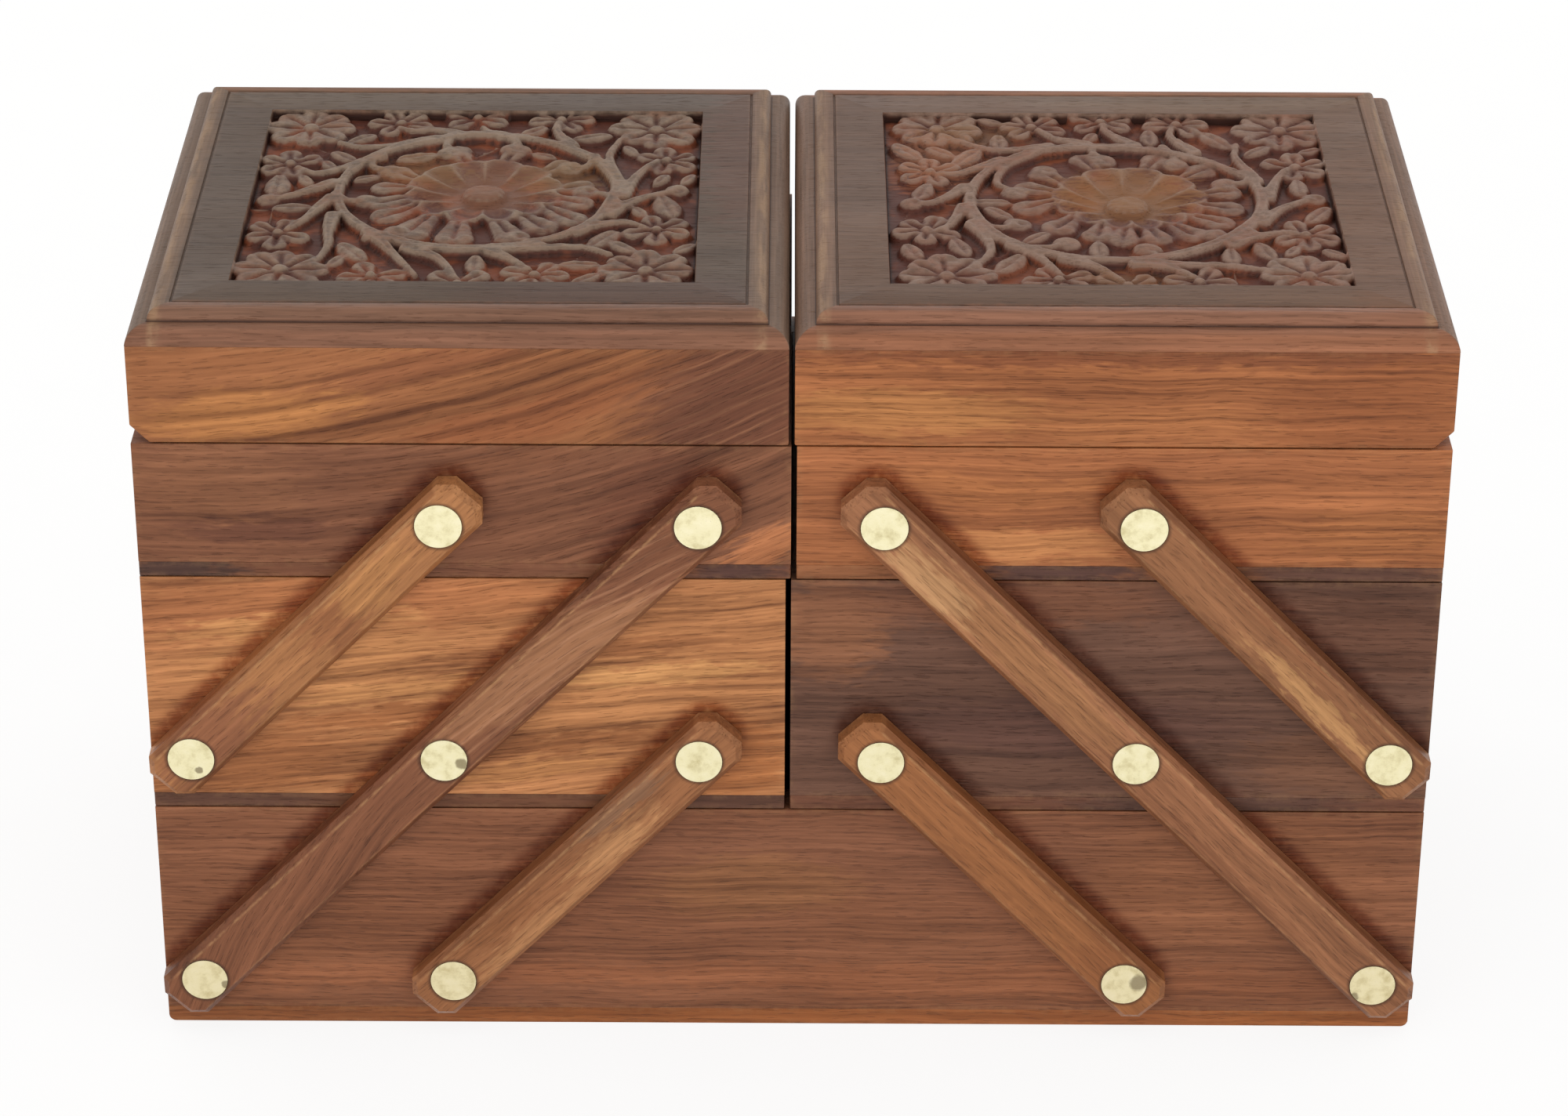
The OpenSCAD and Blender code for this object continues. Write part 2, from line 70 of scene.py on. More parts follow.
# Colour and node helpers
def linear(rgb):
    """Linear colour of one written as 0 to 255."""
    shares = [c / 255 for c in rgb]
    return (*(c / 12.92 if c <= 0.04045 else ((c + 0.055) / 1.055) ** 2.4 for c in shares), 1.0)


def swing(value, amount):
    """How far a noise is from its middle value, times an amount."""
    return (value - 0.5) * amount


class Value:
    """What a node puts out, with plain arithmetic that adds further nodes."""

    def __init__(self, tree, socket):
        self.tree, self.socket = tree, socket

    def __add__(self, other):
        return self.tree.math("ADD", self, other)

    def __sub__(self, other):
        return self.tree.math("SUBTRACT", self, other)

    def __rsub__(self, other):
        return self.tree.math("SUBTRACT", other, self)

    def __mul__(self, other):
        return self.tree.math("MULTIPLY", self, other)

    def __abs__(self):
        return self.tree.math("ABSOLUTE", self)

    __radd__ = __add__


class Tree:
    """The nodes of a new material, or of the world given, and short ways to add to them."""

    def __init__(self, name, world=None):
        self.material = world or bpy.data.materials.new(name)
        self.material.use_nodes = True
        self.tree = self.material.node_tree
        self.tree.nodes.clear()

    def add(self, kind, inputs=None, **settings):
        node = self.tree.nodes.new("ShaderNode" + kind)
        for key, value in settings.items():
            setattr(node, key, value)
        for key, value in (inputs or {}).items():
            if isinstance(value, Value):
                self.tree.links.new(value.socket, node.inputs[key])
            else:
                node.inputs[key].default_value = value
        return node

    def output(self, node, which=0):
        return Value(self, node.outputs[which])

    def math(self, operation, a, b=0.0):
        return self.output(self.add("Math", {0: a, 1: b}, operation=operation))

    def vector(self, operation, a, b=(0, 0, 0), scale=1.0, out=0):
        return self.output(self.add("VectorMath", {0: a, 1: b, 3: scale}, operation=operation), out)

    def dot(self, a, b):
        return self.vector("DOT_PRODUCT", a, b, out=1)

    def distance(self, a, b):
        return self.vector("DISTANCE", a, b, out=1)

    def point(self, x, y, z):
        return self.output(self.add("CombineXYZ", {0: x, 1: y, 2: z}))

    def split(self, vector):
        node = self.add("SeparateXYZ", {0: vector})
        return [self.output(node, axis) for axis in range(3)]

    def noise(self, vector, scale=1.0, detail=2.0, roughness=0.5, distortion=0.0):
        inputs = dict(Vector=vector, Scale=scale, Detail=detail, Roughness=roughness)
        return self.output(self.add("TexNoise", dict(inputs, Distortion=distortion)))

    def speckle(self, place, size, **settings):
        """Noise whose fineness is one number, or one for each axis."""
        if isinstance(size, tuple):
            return self.noise(self.vector("MULTIPLY", place, size), **settings)
        return self.noise(self.vector("SCALE", place, scale=size), **settings)

    def span(self, value, low, high, to_low=0.0, to_high=1.0):
        """A smooth step: to_low up to low, to_high from high on."""
        inputs = {0: value, 1: low, 2: high, 3: to_low, 4: to_high}
        node = self.add("MapRange", inputs, interpolation_type="SMOOTHSTEP", clamp=True)
        return self.output(node)

    def ramp(self, factor, places, tones):
        node = self.add("ValToRGB", {0: factor})
        elements = node.color_ramp.elements
        while len(elements) < len(places):
            elements.new(0.5)
        for element, place, tone in zip(elements, places, tones):
            element.position = place
            element.color = tone
        return self.output(node)

    def mix(self, factor, a, b, blend="MIX"):
        node = self.add("Mix", {0: factor, 6: a, 7: b}, data_type="RGBA", blend_type=blend)
        return self.output(node, 2)

    def tinted(self, colour, tint):
        return self.mix(1.0, colour, tint, "MULTIPLY")

    def bump(self, height, distance, strength=1.0):
        inputs = dict(Height=height, Distance=distance, Strength=strength)
        return self.output(self.add("Bump", inputs))

    def place(self):
        """Place on the piece at rest, in millimetres."""
        return self.vector("SCALE", self.output(self.add("TexCoord"), "Object"), scale=1000.0)

    def surface(self, **inputs):
        shader = self.add("BsdfPrincipled", {k.replace("_", " "): v for k, v in inputs.items()})
        self.add("OutputMaterial", {0: self.output(shader)})
        return self.material


# Rosewood
class Rosewood(Tree):
    """Planed and oiled rosewood. Its grain runs one way through the whole solid, so ends and edges
    show the same growth as the face. Lengths are in millimetres from the board's middle: u along
    the grain, v across it and w through it. Size is half of each where the box can't say it."""

    def __init__(self, name, box, along, across, size, seed, slope, curve, line):
        super().__init__(name)
        self.slope, self.curve = slope, curve
        low, high = (Vector(c) * 1000 for c in box)
        middle, half = (low + high) / 2, (high - low) / 2
        along, across = Vector(along).normalized(), Vector(across).normalized()
        axes = (along, across, along.cross(across))
        self.outside = max(abs(low.y), abs(high.y))
        self.here = self.place()
        offset = self.vector("SUBTRACT", self.here, middle)
        self.u, self.v, self.w = u, v, w = [self.dot(offset, axis) for axis in axes]
        self.size = size or [abs(half.dot(axis)) for axis in axes]
        self.inside = [far - abs(at) for far, at in zip(self.size, (u, v, w))]
        x, self.y, z = self.split(self.here)
        self.flat = self.point(x, 0.0, z)
        self.rub_noise = self.speckle(self.here, 0.35, detail=3.0, roughness=0.7)

        # The path of the grain sways a little on its way
        self.u_seed = u + seed * 37.0
        sway = self.noise(self.point(self.u_seed * 0.03, v * 0.05, w * 0.05))
        self.path = v + swing(sway, 3.4) + u * slope + u * u * curve
        self.path_seed = self.path + seed * 13.0
        self.broad = self.grain(120.0, 8.0)
        self.thin = self.grain(45.0, line, 3.0, 0.6)
        self.fibre = self.grain(9.0, 0.5, 2.0, 0.6)
        self.pore = self.span(self.grain(4.5, 0.36, 1.0), 0.60, 0.72)

        # Spots of tone have ragged edges that follow it
        ragged = self.point(self.u_seed * 0.04, self.path_seed * 0.16, w)
        shift = self.output(self.add("TexNoise", {"Vector": ragged, "Detail": 3.0}), "Color")
        shift_u, shift_v, _ = self.split(shift)
        self.u_warp = u + swing(shift_u, 26.0)
        self.v_warp = self.path + swing(shift_v, 9.0)

    def grain(self, u_size, v_size, detail=2.0, roughness=0.5):
        """Noise drawn out along the grain, with features of about these sizes."""
        along, across = 1 / u_size, 1 / v_size
        at = self.point(self.u_seed * along, self.path_seed * across, self.w * across)
        return self.noise(at, detail=detail, roughness=roughness)

    def window(self, start, end):
        """1 between two places along the grain, with soft ends."""
        soft = min(12.0, (end - start) / 2.5)
        begun = self.span(self.u, start - soft / 2, start + soft)
        return begun * self.span(self.u, end - soft, end + soft / 2, 1.0, 0.0)

    def spot(self, u, v, reach_u, reach_v, strength):
        """A soft spot that is drawn out along the grain."""
        du = (self.u_warp - u) * (1 / reach_u)
        dv = (self.v_warp - (v + self.slope * u + self.curve * u * u)) * (1 / reach_v)
        return self.span(du * du + dv * dv, 0.15, 1.5, strength, 0.0)

    def spotted(self, colour, spots, mask=1.0):
        """Spots are (u, v, reach along, reach across, tone, amount)."""
        for *where, tone, amount in spots:
            colour = self.mix(self.spot(*where, amount) * mask, colour, linear(tone))
        return colour

    def ringed(self, colour, gap, width, start, end, tone, amount):
        """Paler lines a gap apart, between two places along the grain."""
        phase = self.math("PINGPONG", self.path + swing(self.broad, 7.0), gap / 2)
        ring = self.span(phase, 0.0, width, 1.0, 0.0) * self.window(start, end)
        ring = ring * self.span(self.thin, 0.35, 0.6, 0.3, 1.0)
        return self.mix(ring * amount, colour, linear(tone))

    def figured(self, colour, streaks, contrast):
        """Dark and pale figure, with streaks (place across, width, from u, to u, amount)."""
        factor = 0.5 + swing(self.broad, 1.0 * contrast) + swing(self.thin, 1.35 * contrast)
        factor = factor + swing(self.fibre, 0.5 * contrast)
        for middle, width, start, end, amount in streaks:
            near = (self.path - middle) * (1 / width)
            streak = self.math("EXPONENT", near * near * -1.0) * self.window(start, end)
            factor = factor - streak * amount
        tones = (0.20, 0.17, 0.16, 1.0), (0.50, 0.50, 0.50, 1.0), (0.80, 0.84, 0.88, 1.0)
        figure = self.ramp(factor, (0.0, 0.5, 1.0), tones)
        colour = self.vector("MULTIPLY", self.tinted(colour, figure), (2.06, 1.96, 1.80))
        return self.mix(self.pore * 0.34, colour, self.tinted(colour, (0.50, 0.44, 0.42, 1.0)))

    def rubbed(self, colour, wear):
        """Handled arrises are rubbed a little paler."""
        a, b, c = self.inside
        farthest = self.math("MAXIMUM", self.math("MAXIMUM", a, b), c)
        rub = self.span(a + b + c - farthest, 0.3, 1.6, 1.0, 0.0)
        rub = rub * self.span(self.rub_noise, 0.38, 0.68, 0.0, wear)
        return self.mix(rub, colour, self.mix(0.4, colour, linear(PALE)))

    def shaded_along_arms(self, colour, arms):
        """Painted shade, standing in for the arms' contact shadow, on a wall's outer face along the
        upper edges of the closed arms, which are given by their two ends, as (x, z)."""
        reach, lift, dark, faint = 2.6, 1.9, 5.9, 8.6
        edge, end = ARM_WIDTH / 2, ARM_OVERHANG
        shade = 0.0
        for (x0, z0), (x1, z1) in arms:
            start, way = Vector((x0, 0, z0)), Vector((x1 - x0, 0, z1 - z0))
            run = way.length
            way.normalize()
            begin = start - way * reach + Vector((0, 0, lift))
            from_begin = self.vector("SUBTRACT", self.flat, begin)
            step = self.math("MAXIMUM", self.dot(from_begin, way), 0.0)
            step = self.math("MINIMUM", step, run + 2 * reach)
            beside = self.distance(from_begin, self.vector("SCALE", way, scale=step))
            from_middle = self.vector("SUBTRACT", self.flat, start + way * run / 2)
            off_axis = abs(self.dot(from_middle, Vector((-way.z, 0, way.x))))
            off_middle = abs(self.dot(from_middle, way))
            clear = self.math(
                "MAXIMUM",
                self.span(off_axis, edge - 1.4, edge - 0.2),
                self.span(off_middle, run / 2 + end - 1.4, run / 2 + end - 0.2),
            )
            shade = self.math("MAXIMUM", shade, self.span(beside, dark, faint, 1.0, 0.0) * clear)
        shade = shade * self.span(abs(self.y), self.outside - 0.9, self.outside - 0.4)
        shade = shade * self.span(self.rub_noise, 0.3, 0.62, 0.45, 0.85)
        return self.mix(shade, colour, self.tinted(colour, (0.48, 0.26, 0.18, 1.0)))

    def handled_and_highlit(self, colour, discs):
        """An arm's bevels are darker, the arrises beside them are worn pale and paler still on the
        upper side as a painted highlight, and dirt gathers round its discs, which are given as (x,
        z)."""
        beside = abs(self.v) - (ARM_WIDTH / 2 - ARM_BEVEL)
        length = self.size[0]
        short = self.span(abs(self.u), length - 4.4, length - 3.4, 1.0, 0.0)
        darker_bevel = self.tinted(colour, (0.66, 0.56, 0.50, 1.0))
        colour = self.mix(short * self.span(beside, 0.05, 0.35, 0.0, 0.75), colour, darker_bevel)
        # Pale arrises: wear, with a painted highlight that is stronger on the upper side
        pale = short * self.span(abs(beside), 0.0, 0.42, 1.0, 0.0)
        pale = pale * self.span(self.rub_noise, 0.36, 0.6, 0.12, 0.7)
        pale = pale * self.span(self.v, -1.0, 1.0, 0.45, 1.0)
        colour = self.mix(pale, colour, self.mix(0.55, colour, linear(PALE)))
        for x, z in discs:
            away = self.distance(self.flat, (x, 0.0, z)) + swing(self.rub_noise, 0.5)
            halo = self.span(away, DISC_RADIUS + 0.1, DISC_RADIUS + 0.9, 0.6, 0.0)
            colour = self.mix(halo, colour, GRIME)
        return colour

    def moulded(self, colour, moulding, rim, ends):
        """The rubbed moulding of a lid's board: its tone, and those of its rim and its two ends."""
        to_end, to_side, _ = self.inside
        inset = self.math("MINIMUM", to_end, to_side)
        at_end = self.span(to_end - to_side, -0.3, 0.3, 1.0, 0.0)
        end_lines = self.point(self.v * 0.03, self.u * 1.4, self.w)
        end_lines = self.noise(end_lines, detail=3.0, roughness=0.6)
        lines = self.output(self.add("Mix", {0: at_end, 2: self.thin, 3: end_lines}))
        tone = self.mix(self.span(inset, 0.6, 3.6, 0.8, 0.0), linear(moulding), linear(rim))
        tone = self.mix(0.25, self.mix(at_end, tone, linear(ends)), colour)
        tone = self.vector("SCALE", tone, scale=lines * 1.4 + 0.3)
        worn = self.span(inset + swing(self.rub_noise, 3.0), 6.6, 9.4, 0.9, 0.0)
        colour = self.mix(worn, colour, tone)
        smudge = self.speckle(self.here, (0.5, 0.08, 0.5), detail=3.0)
        pale = self.span(to_end, 3.8, 5.0) * self.span(to_end, 5.4, 7.4, 1.0, 0.0)
        return self.mix(pale * self.span(smudge, 0.4, 0.62, 0.1, 0.45), colour, linear(WORN))

    def carved(self, colour, ground, ember, crest, blush, tints, embers):
        """The carved panel, by its mesh's depth and hollow. Its ground glows at the embers (u, v,
        reach along, reach across), and tints are spots laid over its parts. Its hollows and creases
        get painted shade with dirt, and its raised crests a painted highlight with wear."""
        depth = self.output(self.add("Attribute", attribute_name="depth"), "Fac")
        hollow = self.output(self.add("Attribute", attribute_name="hollow"), "Fac")
        glow = self.speckle(self.here, 0.11, detail=3.0, roughness=0.6)
        for where in embers:
            glow = glow + self.spot(*where, 0.16)
        deep = self.mix(self.span(glow, 0.48, 0.64), linear(ground), linear(ember))
        flush = self.speckle(self.here, 0.09)
        tops = self.mix(self.span(flush, 0.40, 0.62), linear(crest), linear(blush))
        tops = self.mix(self.span(self.rub_noise, 0.30, 0.66, 0.2, 0.9), colour, tops)
        in_panel = self.span(depth, 0.0, 0.012)
        colour = self.mix(in_panel, colour, tops)
        colour = self.mix(self.span(depth, 0.16, 0.66, 0.0, 0.95), colour, deep)
        colour = self.spotted(colour, tints, in_panel)
        # Painted shade, with dirt, darkens the hollows and creases
        colour = self.mix(self.span(hollow, 0.03, 0.9, 0.0, 0.9), colour, HOLLOW_SHADE_AND_DIRT)
        # Painted highlight, with wear, lightens the raised crests
        return self.mix(self.span(hollow, -0.30, -0.04, 0.5, 0.0), colour, linear(crest))

    def finished(self, colour, roughness):
        """The material, with a smeared gloss and the grain's own fine relief."""
        smear = self.speckle(self.here, 0.05, detail=3.0)
        relief = self.fibre * 0.5 + self.thin * 0.5 + self.pore * -0.9
        rough = roughness + swing(smear, 0.22) + swing(self.fibre, 0.18) + self.pore * 0.12
        return self.surface(
            Base_Color=colour,
            Roughness=rough,
            Normal=self.bump(relief, 0.00012, 0.9),
            Specular_IOR_Level=0.22,
        )


def rosewood(
    name, box, along, across, tone, patches=(), streaks=(), rings=None, slope=0.0, curve=0.0,
    contrast=1.0, line=1.3, roughness=0.42, seed=0.0, discs=(), carved=None, edge=None, size=None,
    wear=0.25, arms=(), tints=(), embers=(),
):
    """One board's wood, from its row in LOOKS. Slope and curve bend its grain, line is how fine
    the grain is, and size is half the board's length, width and thickness."""
    wood = Rosewood(name, box, along, across, size, seed, slope, curve, line)
    colour = wood.spotted(linear(tone), patches)
    if rings:
        colour = wood.ringed(colour, *rings)
    colour = wood.figured(colour, streaks, contrast)
    if not carved:
        colour = wood.rubbed(colour, wear)
    # Painted shade on a wall's outer face along the upper edges of its closed arms
    if arms:
        colour = wood.shaded_along_arms(colour, arms)
    if discs:
        colour = wood.handled_and_highlit(colour, discs)
    if edge:
        colour = wood.moulded(colour, *edge)
    if carved:
        colour = wood.carved(colour, *carved, tints, embers)
    return wood.finished(colour, roughness)


# Brass
def brass(name, tone, stains=(), rough=0.46):
    """Filed brass with a dull bloom, fine scratches and a few brown stains at (x, z, radius)."""
    t = Tree(name)
    here = t.place()
    bloom = t.speckle(here, 0.35, detail=4.0, roughness=0.62)
    speck = t.speckle(here, 2.6, roughness=0.6)
    scratch = t.speckle(here, (0.5, 4.0, 7.0), roughness=0.7)
    r, g, b = tone
    tones = (r * 0.76, g * 0.72, b * 0.62, 1.0), (r, g, b, 1.0), (r * 1.05, g * 1.06, b * 1.16, 1.0)
    colour = t.ramp(bloom, (0.28, 0.50, 0.70), tones)
    colour = t.mix(t.span(speck, 0.62, 0.76, 0.0, 0.4), colour, (0.42, 0.33, 0.15, 1.0))
    x, _, z = t.split(here)
    flat = t.point(x, 0.0, z)
    for stain_x, stain_z, radius in stains:
        away = t.distance(flat, (stain_x, 0.0, stain_z)) + swing(bloom, 1.6)
        stain = t.span(away, radius * 0.6, radius, 0.75, 0.0)
        colour = t.mix(stain, colour, (0.20, 0.15, 0.08, 1.0))
    return t.surface(
        Base_Color=colour,
        Metallic=0.8,
        Roughness=rough + swing(bloom, 0.3) + swing(scratch, 0.16),
        Normal=t.bump(scratch * 0.5 + bloom * 0.7, 0.00010, 0.7),
    )


# Felt
def felt(name):
    """Deep red felt: matted fibres, pile that leans in patches and a soft sheen."""
    t = Tree(name)
    here = t.place()
    patch = t.speckle(here, 0.06, detail=3.0)
    lean = t.speckle(here, (0.9, 2.2, 1.0), detail=3.0, roughness=0.7, distortion=0.8)
    lint = t.speckle(here, (6.0, 5.0, 6.0), detail=3.0, roughness=0.8, distortion=1.2)
    tones = [linear(tone) for tone in ((70, 12, 18), (112, 20, 28), (150, 40, 46))]
    return t.surface(
        Base_Color=t.ramp(patch * 0.4 + lean * 0.35 + lint * 0.35, (0.36, 0.54, 0.74), tones),
        Roughness=t.span(lint, 0.3, 0.7, 0.88, 1.0),
        Normal=t.bump(lint * 0.7 + lean * 0.6, 0.00045),
        Sheen_Weight=0.35,
        Sheen_Roughness=0.5,
        Sheen_Tint=(0.9, 0.45, 0.45, 1.0),
        Specular_IOR_Level=0.1,
    )


# Carving
def neighbours(grid):
    """Sum of the four points round each inner point of a grid."""
    return grid[:-2, 1:-1] + grid[2:, 1:-1] + grid[1:-1, :-2] + grid[1:-1, 2:]


class Carving:
    """Relief of one lid's panel on a grid, in millimetres below the board's top."""

    STEP = 0.34
    SAMPLE = 0.4
    GROUND = -2.2
    CUP_FLOOR = -2.5
    LOWEST, HIGHEST = -2.55, -0.02
    OUTSIDE = -9.0
    FULL_DEPTH = 2.3

    def __init__(self, seed):
        sides = [(-size / 2, size / 2, int(round(size / self.STEP)) + 1) for size in PANEL]
        self.x, self.y = np.meshgrid(*(np.linspace(*side) for side in sides))
        self.random = np.random.default_rng(seed)
        self.height = np.full(self.x.shape, self.GROUND)
        self.in_cup = np.zeros(self.x.shape, bool)

    def window(self, x0, x1, y0, y1, margin):
        """Slices of the grid that cover a box."""
        columns = np.searchsorted(self.x[0], (x0 - margin, x1 + margin))
        rows = np.searchsorted(self.y[:, 0], (y0 - margin, y1 + margin))
        return np.s_[rows[0] : rows[1], columns[0] : columns[1]]

    def around(self, x, y, reach):
        """Slices of the grid near a point, and how far along x and y they lie from it."""
        part = self.window(x, x, y, y, reach)
        return part, self.x[part] - x, self.y[part] - y

    def rise(self, part, height, inside=True):
        """Brings a part of the relief up to a height where that is higher."""
        height = np.where(inside, height, self.OUTSIDE)
        self.height[part] = np.maximum(self.height[part], height)

    def path(self, points, closed=False):
        """Smooth line through points, as close samples."""
        p = np.array(points, float)
        if closed:
            p = np.vstack([p[-1], p, p[:2]])
        else:
            p = np.vstack([2 * p[0] - p[1], p, 2 * p[-1] - p[-2]])
        out = []
        for a, b, c, d in zip(p[:-3], p[1:-2], p[2:-1], p[3:]):
            n = max(2, int(np.hypot(*(c - b)) / self.SAMPLE))
            s = np.linspace(0, 1, n, endpoint=False)[:, None]
            cubic = (3 * b - a - 3 * c + d) * s**3
            out.append(0.5 * (2 * b + (c - a) * s + (2 * a - 5 * b + 4 * c - d) * s**2 + cubic))
        out.append(p[-2][None])
        return np.vstack(out)

    def stem(self, samples, widths, top=0.0, drop=0.0, groove=0.0):
        """A stem of changing half width, with rounded shoulders and a light groove."""
        shoulder, groove_width = 0.7, 0.35
        w = np.interp(np.linspace(0, 1, len(samples)), np.linspace(0, 1, len(widths)), widths)
        tops = np.linspace(top, top - drop, len(samples))
        (x0, y0), (x1, y1) = samples.min(0), samples.max(0)
        part = self.window(x0, x1, y0, y1, max(widths) + 1)
        px, py = self.x[part], self.y[part]
        best = np.full(px.shape, self.OUTSIDE)
        nearest = np.full(px.shape, -self.OUTSIDE)
        for (sx, sy), r, z in zip(samples, w, tops):
            d = np.hypot(px - sx, py - sy)
            side = np.clip((d - (r - shoulder)) / shoulder, 0, 1)
            h = z - shoulder * (1 - np.sqrt(np.maximum(1 - side**2, 0)))
            best = np.where(d < r, np.maximum(best, h), best)
            nearest = np.minimum(nearest, d)
        self.rise(part, best - groove * np.exp(-((nearest / groove_width) ** 2)))

    def lobe(self, x, y, angle, length, root, tip, top, dish, vein, fall, lean):
        """A petal from (x, y): a rounded lobe that widens from root to tip, dished like a spoon."""
        part, gx, gy = self.around(x, y, length + 1)
        dx, dy = math.cos(angle), math.sin(angle)
        a, b = gx * dx + gy * dy, gy * dx - gx * dy
        run = max(length - tip, 0.01)
        s = np.clip(a / run, 0, 1)
        radius = root + (tip - root) * s**1.3
        q = np.hypot(a - s * run, b) / radius
        h = top - lean * (1 - s) - fall * q**3.2
        h -= dish * np.exp(-((q / 0.5) ** 2)) * np.clip(a / length * 1.6, 0, 1)
        h -= vein * np.exp(-((b / 0.42) ** 2)) * np.clip(1.7 - a / run, 0, 1)
        self.rise(part, h, q < 1)

    def leaf(self, x, y, angle, length, width, top):
        """A pointed leaf from (x, y) with a groove along its middle."""
        part, gx, gy = self.around(x, y, length + 1)
        s = (gx * math.cos(angle) + gy * math.sin(angle)) / length
        b = gy * math.cos(angle) - gx * math.sin(angle)
        q = np.abs(b) / np.maximum(width * np.clip(4 * s * (1 - s), 0, 1) ** 0.7, 0.01)
        h = top - 0.9 * q**2.6 - 0.5 * np.exp(-((b / 0.4) ** 2))
        self.rise(part, h, q < 1)

    def dome(self, x, y, radius, top, fall):
        part, gx, gy = self.around(x, y, radius + 1)
        q = np.hypot(gx, gy) / radius
        self.rise(part, top - fall * q**2.4, q < 1)

    def flower(self, x, y, radius, petals, turn=0.0, spread=2 * math.pi, top=-0.2):
        """A flat flower of spoon petals round a button, all round or fanned over a spread."""
        whole = spread == 2 * math.pi
        gaps = petals if whole else petals - 1
        for k in range(petals):
            share = k / gaps if whole else k / gaps - 0.5
            angle = turn + spread * share + self.random.uniform(-0.08, 0.08)
            size = radius * self.random.uniform(0.93, 1.05)
            tip = min(spread * size / (2 * gaps) * 0.86, size * 0.36)
            height = top + self.random.uniform(-0.2, 0.08)
            self.lobe(x, y, angle, size, tip * 0.4, tip, height, 0.5, 0.8, 0.9, 0.5)
        part, gx, gy = self.around(x, y, radius * 0.4)
        away = np.hypot(gx, gy) / (radius * 0.22)
        self.height[part] -= 0.6 * np.exp(-(away**4))
        self.dome(x, y, radius * 0.16, top - 0.05, 0.5)

    def bud(self, x, y, radius):
        """A round curled bud with an eye off its middle."""
        self.dome(x, y, radius, -0.3, 0.9)
        part, gx, gy = self.around(x, y, radius)
        eye = np.hypot(gx - 0.25 * radius, gy + 0.2 * radius) / radius
        self.height[part] -= 0.5 * np.exp(-((eye / 0.3) ** 2))

    def cup(self, x, y, rx, ry, boss_x, boss_y, petals):
        """The open middle flower: petals rise from a sunk boss to their tips, on an oval."""
        boss_radius, foot, spoon, crease, lip = 4.8, 0.40, 1.1, 0.2, 0.5
        px, py = self.x - boss_x, self.y - boss_y
        angle, r = np.arctan2(py, px), np.hypot(px, py)
        cx, cy = (boss_x - x) / rx, (boss_y - y) / ry
        ux, uy = np.cos(angle) / rx, np.sin(angle) / ry
        aa, bb, cc = ux**2 + uy**2, cx * ux + cy * uy, cx**2 + cy**2 - 1
        reach = (-bb + np.sqrt(np.maximum(bb**2 - aa * cc, 0))) / aa
        bend = angle + 0.05 * np.sin(2 * angle + 0.7)
        off = np.abs(np.mod(bend * petals / (2 * math.pi), 1.0) * 2 - 1)
        s = r / (reach * (1 - 0.12 * off**3))
        rise = np.clip((s - foot) / (1 - foot), 0, 1)
        h = self.CUP_FLOOR + (self.HIGHEST - self.CUP_FLOOR) * rise**0.8
        h -= spoon * (1 - off**2) * np.clip(rise * 2.2, 0, 1) * (1 - 0.3 * rise**3)
        h -= crease * np.exp(-(((1 - off) / 0.04) ** 2)) * np.clip(rise * 1.5, 0, 1)
        h -= lip * np.clip((s - 0.93) / 0.07, 0, 1) ** 2
        self.in_cup = s < 1.08
        self.height = np.where(s < 1, np.maximum(h, self.CUP_FLOOR), self.height)
        q = r / boss_radius
        boss = -0.9 - 0.3 * q**2 - 1.3 * q**8 + 0.14 * np.cos(angle * 14) * np.clip(q - 0.4, 0, 1)
        self.height = np.where(q < 1, boss, self.height)

    def fill(self, smallest, most):
        """Leaves in the widest gaps that are left, each pointing away from what is nearest."""
        coarse = np.s_[2:-2:4, 2:-2:4]
        far = 99.0
        gx, gy = self.x[coarse].ravel(), self.y[coarse].ravel()
        wall = np.minimum(PANEL[0] / 2 - np.abs(gx), PANEL[1] / 2 - np.abs(gy))
        for _ in range(most):
            full = ((self.height > self.GROUND + 0.4) | self.in_cup)[coarse].ravel()
            away = np.full(gx.shape, far)
            for x, y in zip(gx[full], gy[full]):
                away = np.minimum(away, np.hypot(gx - x, gy - y))
            room = np.minimum(away, wall + 0.8)
            k = int(np.argmax(room))
            size = float(room[k])
            if size < smallest:
                return
            near = np.argmin(np.where(full, np.hypot(gx - gx[k], gy - gy[k]), far))
            angle = math.atan2(gy[k] - gy[near], gx[k] - gx[near])
            x, y = gx[k] - math.cos(angle) * size * 1.1, gy[k] - math.sin(angle) * size * 1.1
            self.leaf(x, y, angle, size * 2.2, size * 0.56, -0.45)

    def finish(self):
        """Tool marks in the ground, worn tops, and the panel's own edge at the board's top."""
        ground = np.clip((-1.3 - self.height) / 0.7, 0, 1)
        low = self.cloud(9) * 0.16 + self.cloud(26) * 0.14
        high = self.cloud(64) * 0.13 + self.cloud(17) * 0.14
        self.height += low * ground + high * (1 - ground)
        self.height = np.clip(self.height, self.LOWEST, self.HIGHEST)
        for _ in range(2):
            soft = self.height[1:-1, 1:-1] * 4 + neighbours(self.height)
            self.height[1:-1, 1:-1] = soft / 8
        for edge in (np.s_[0, :], np.s_[-1, :], np.s_[:, 0], np.s_[:, -1]):
            self.height[edge] = 0.0

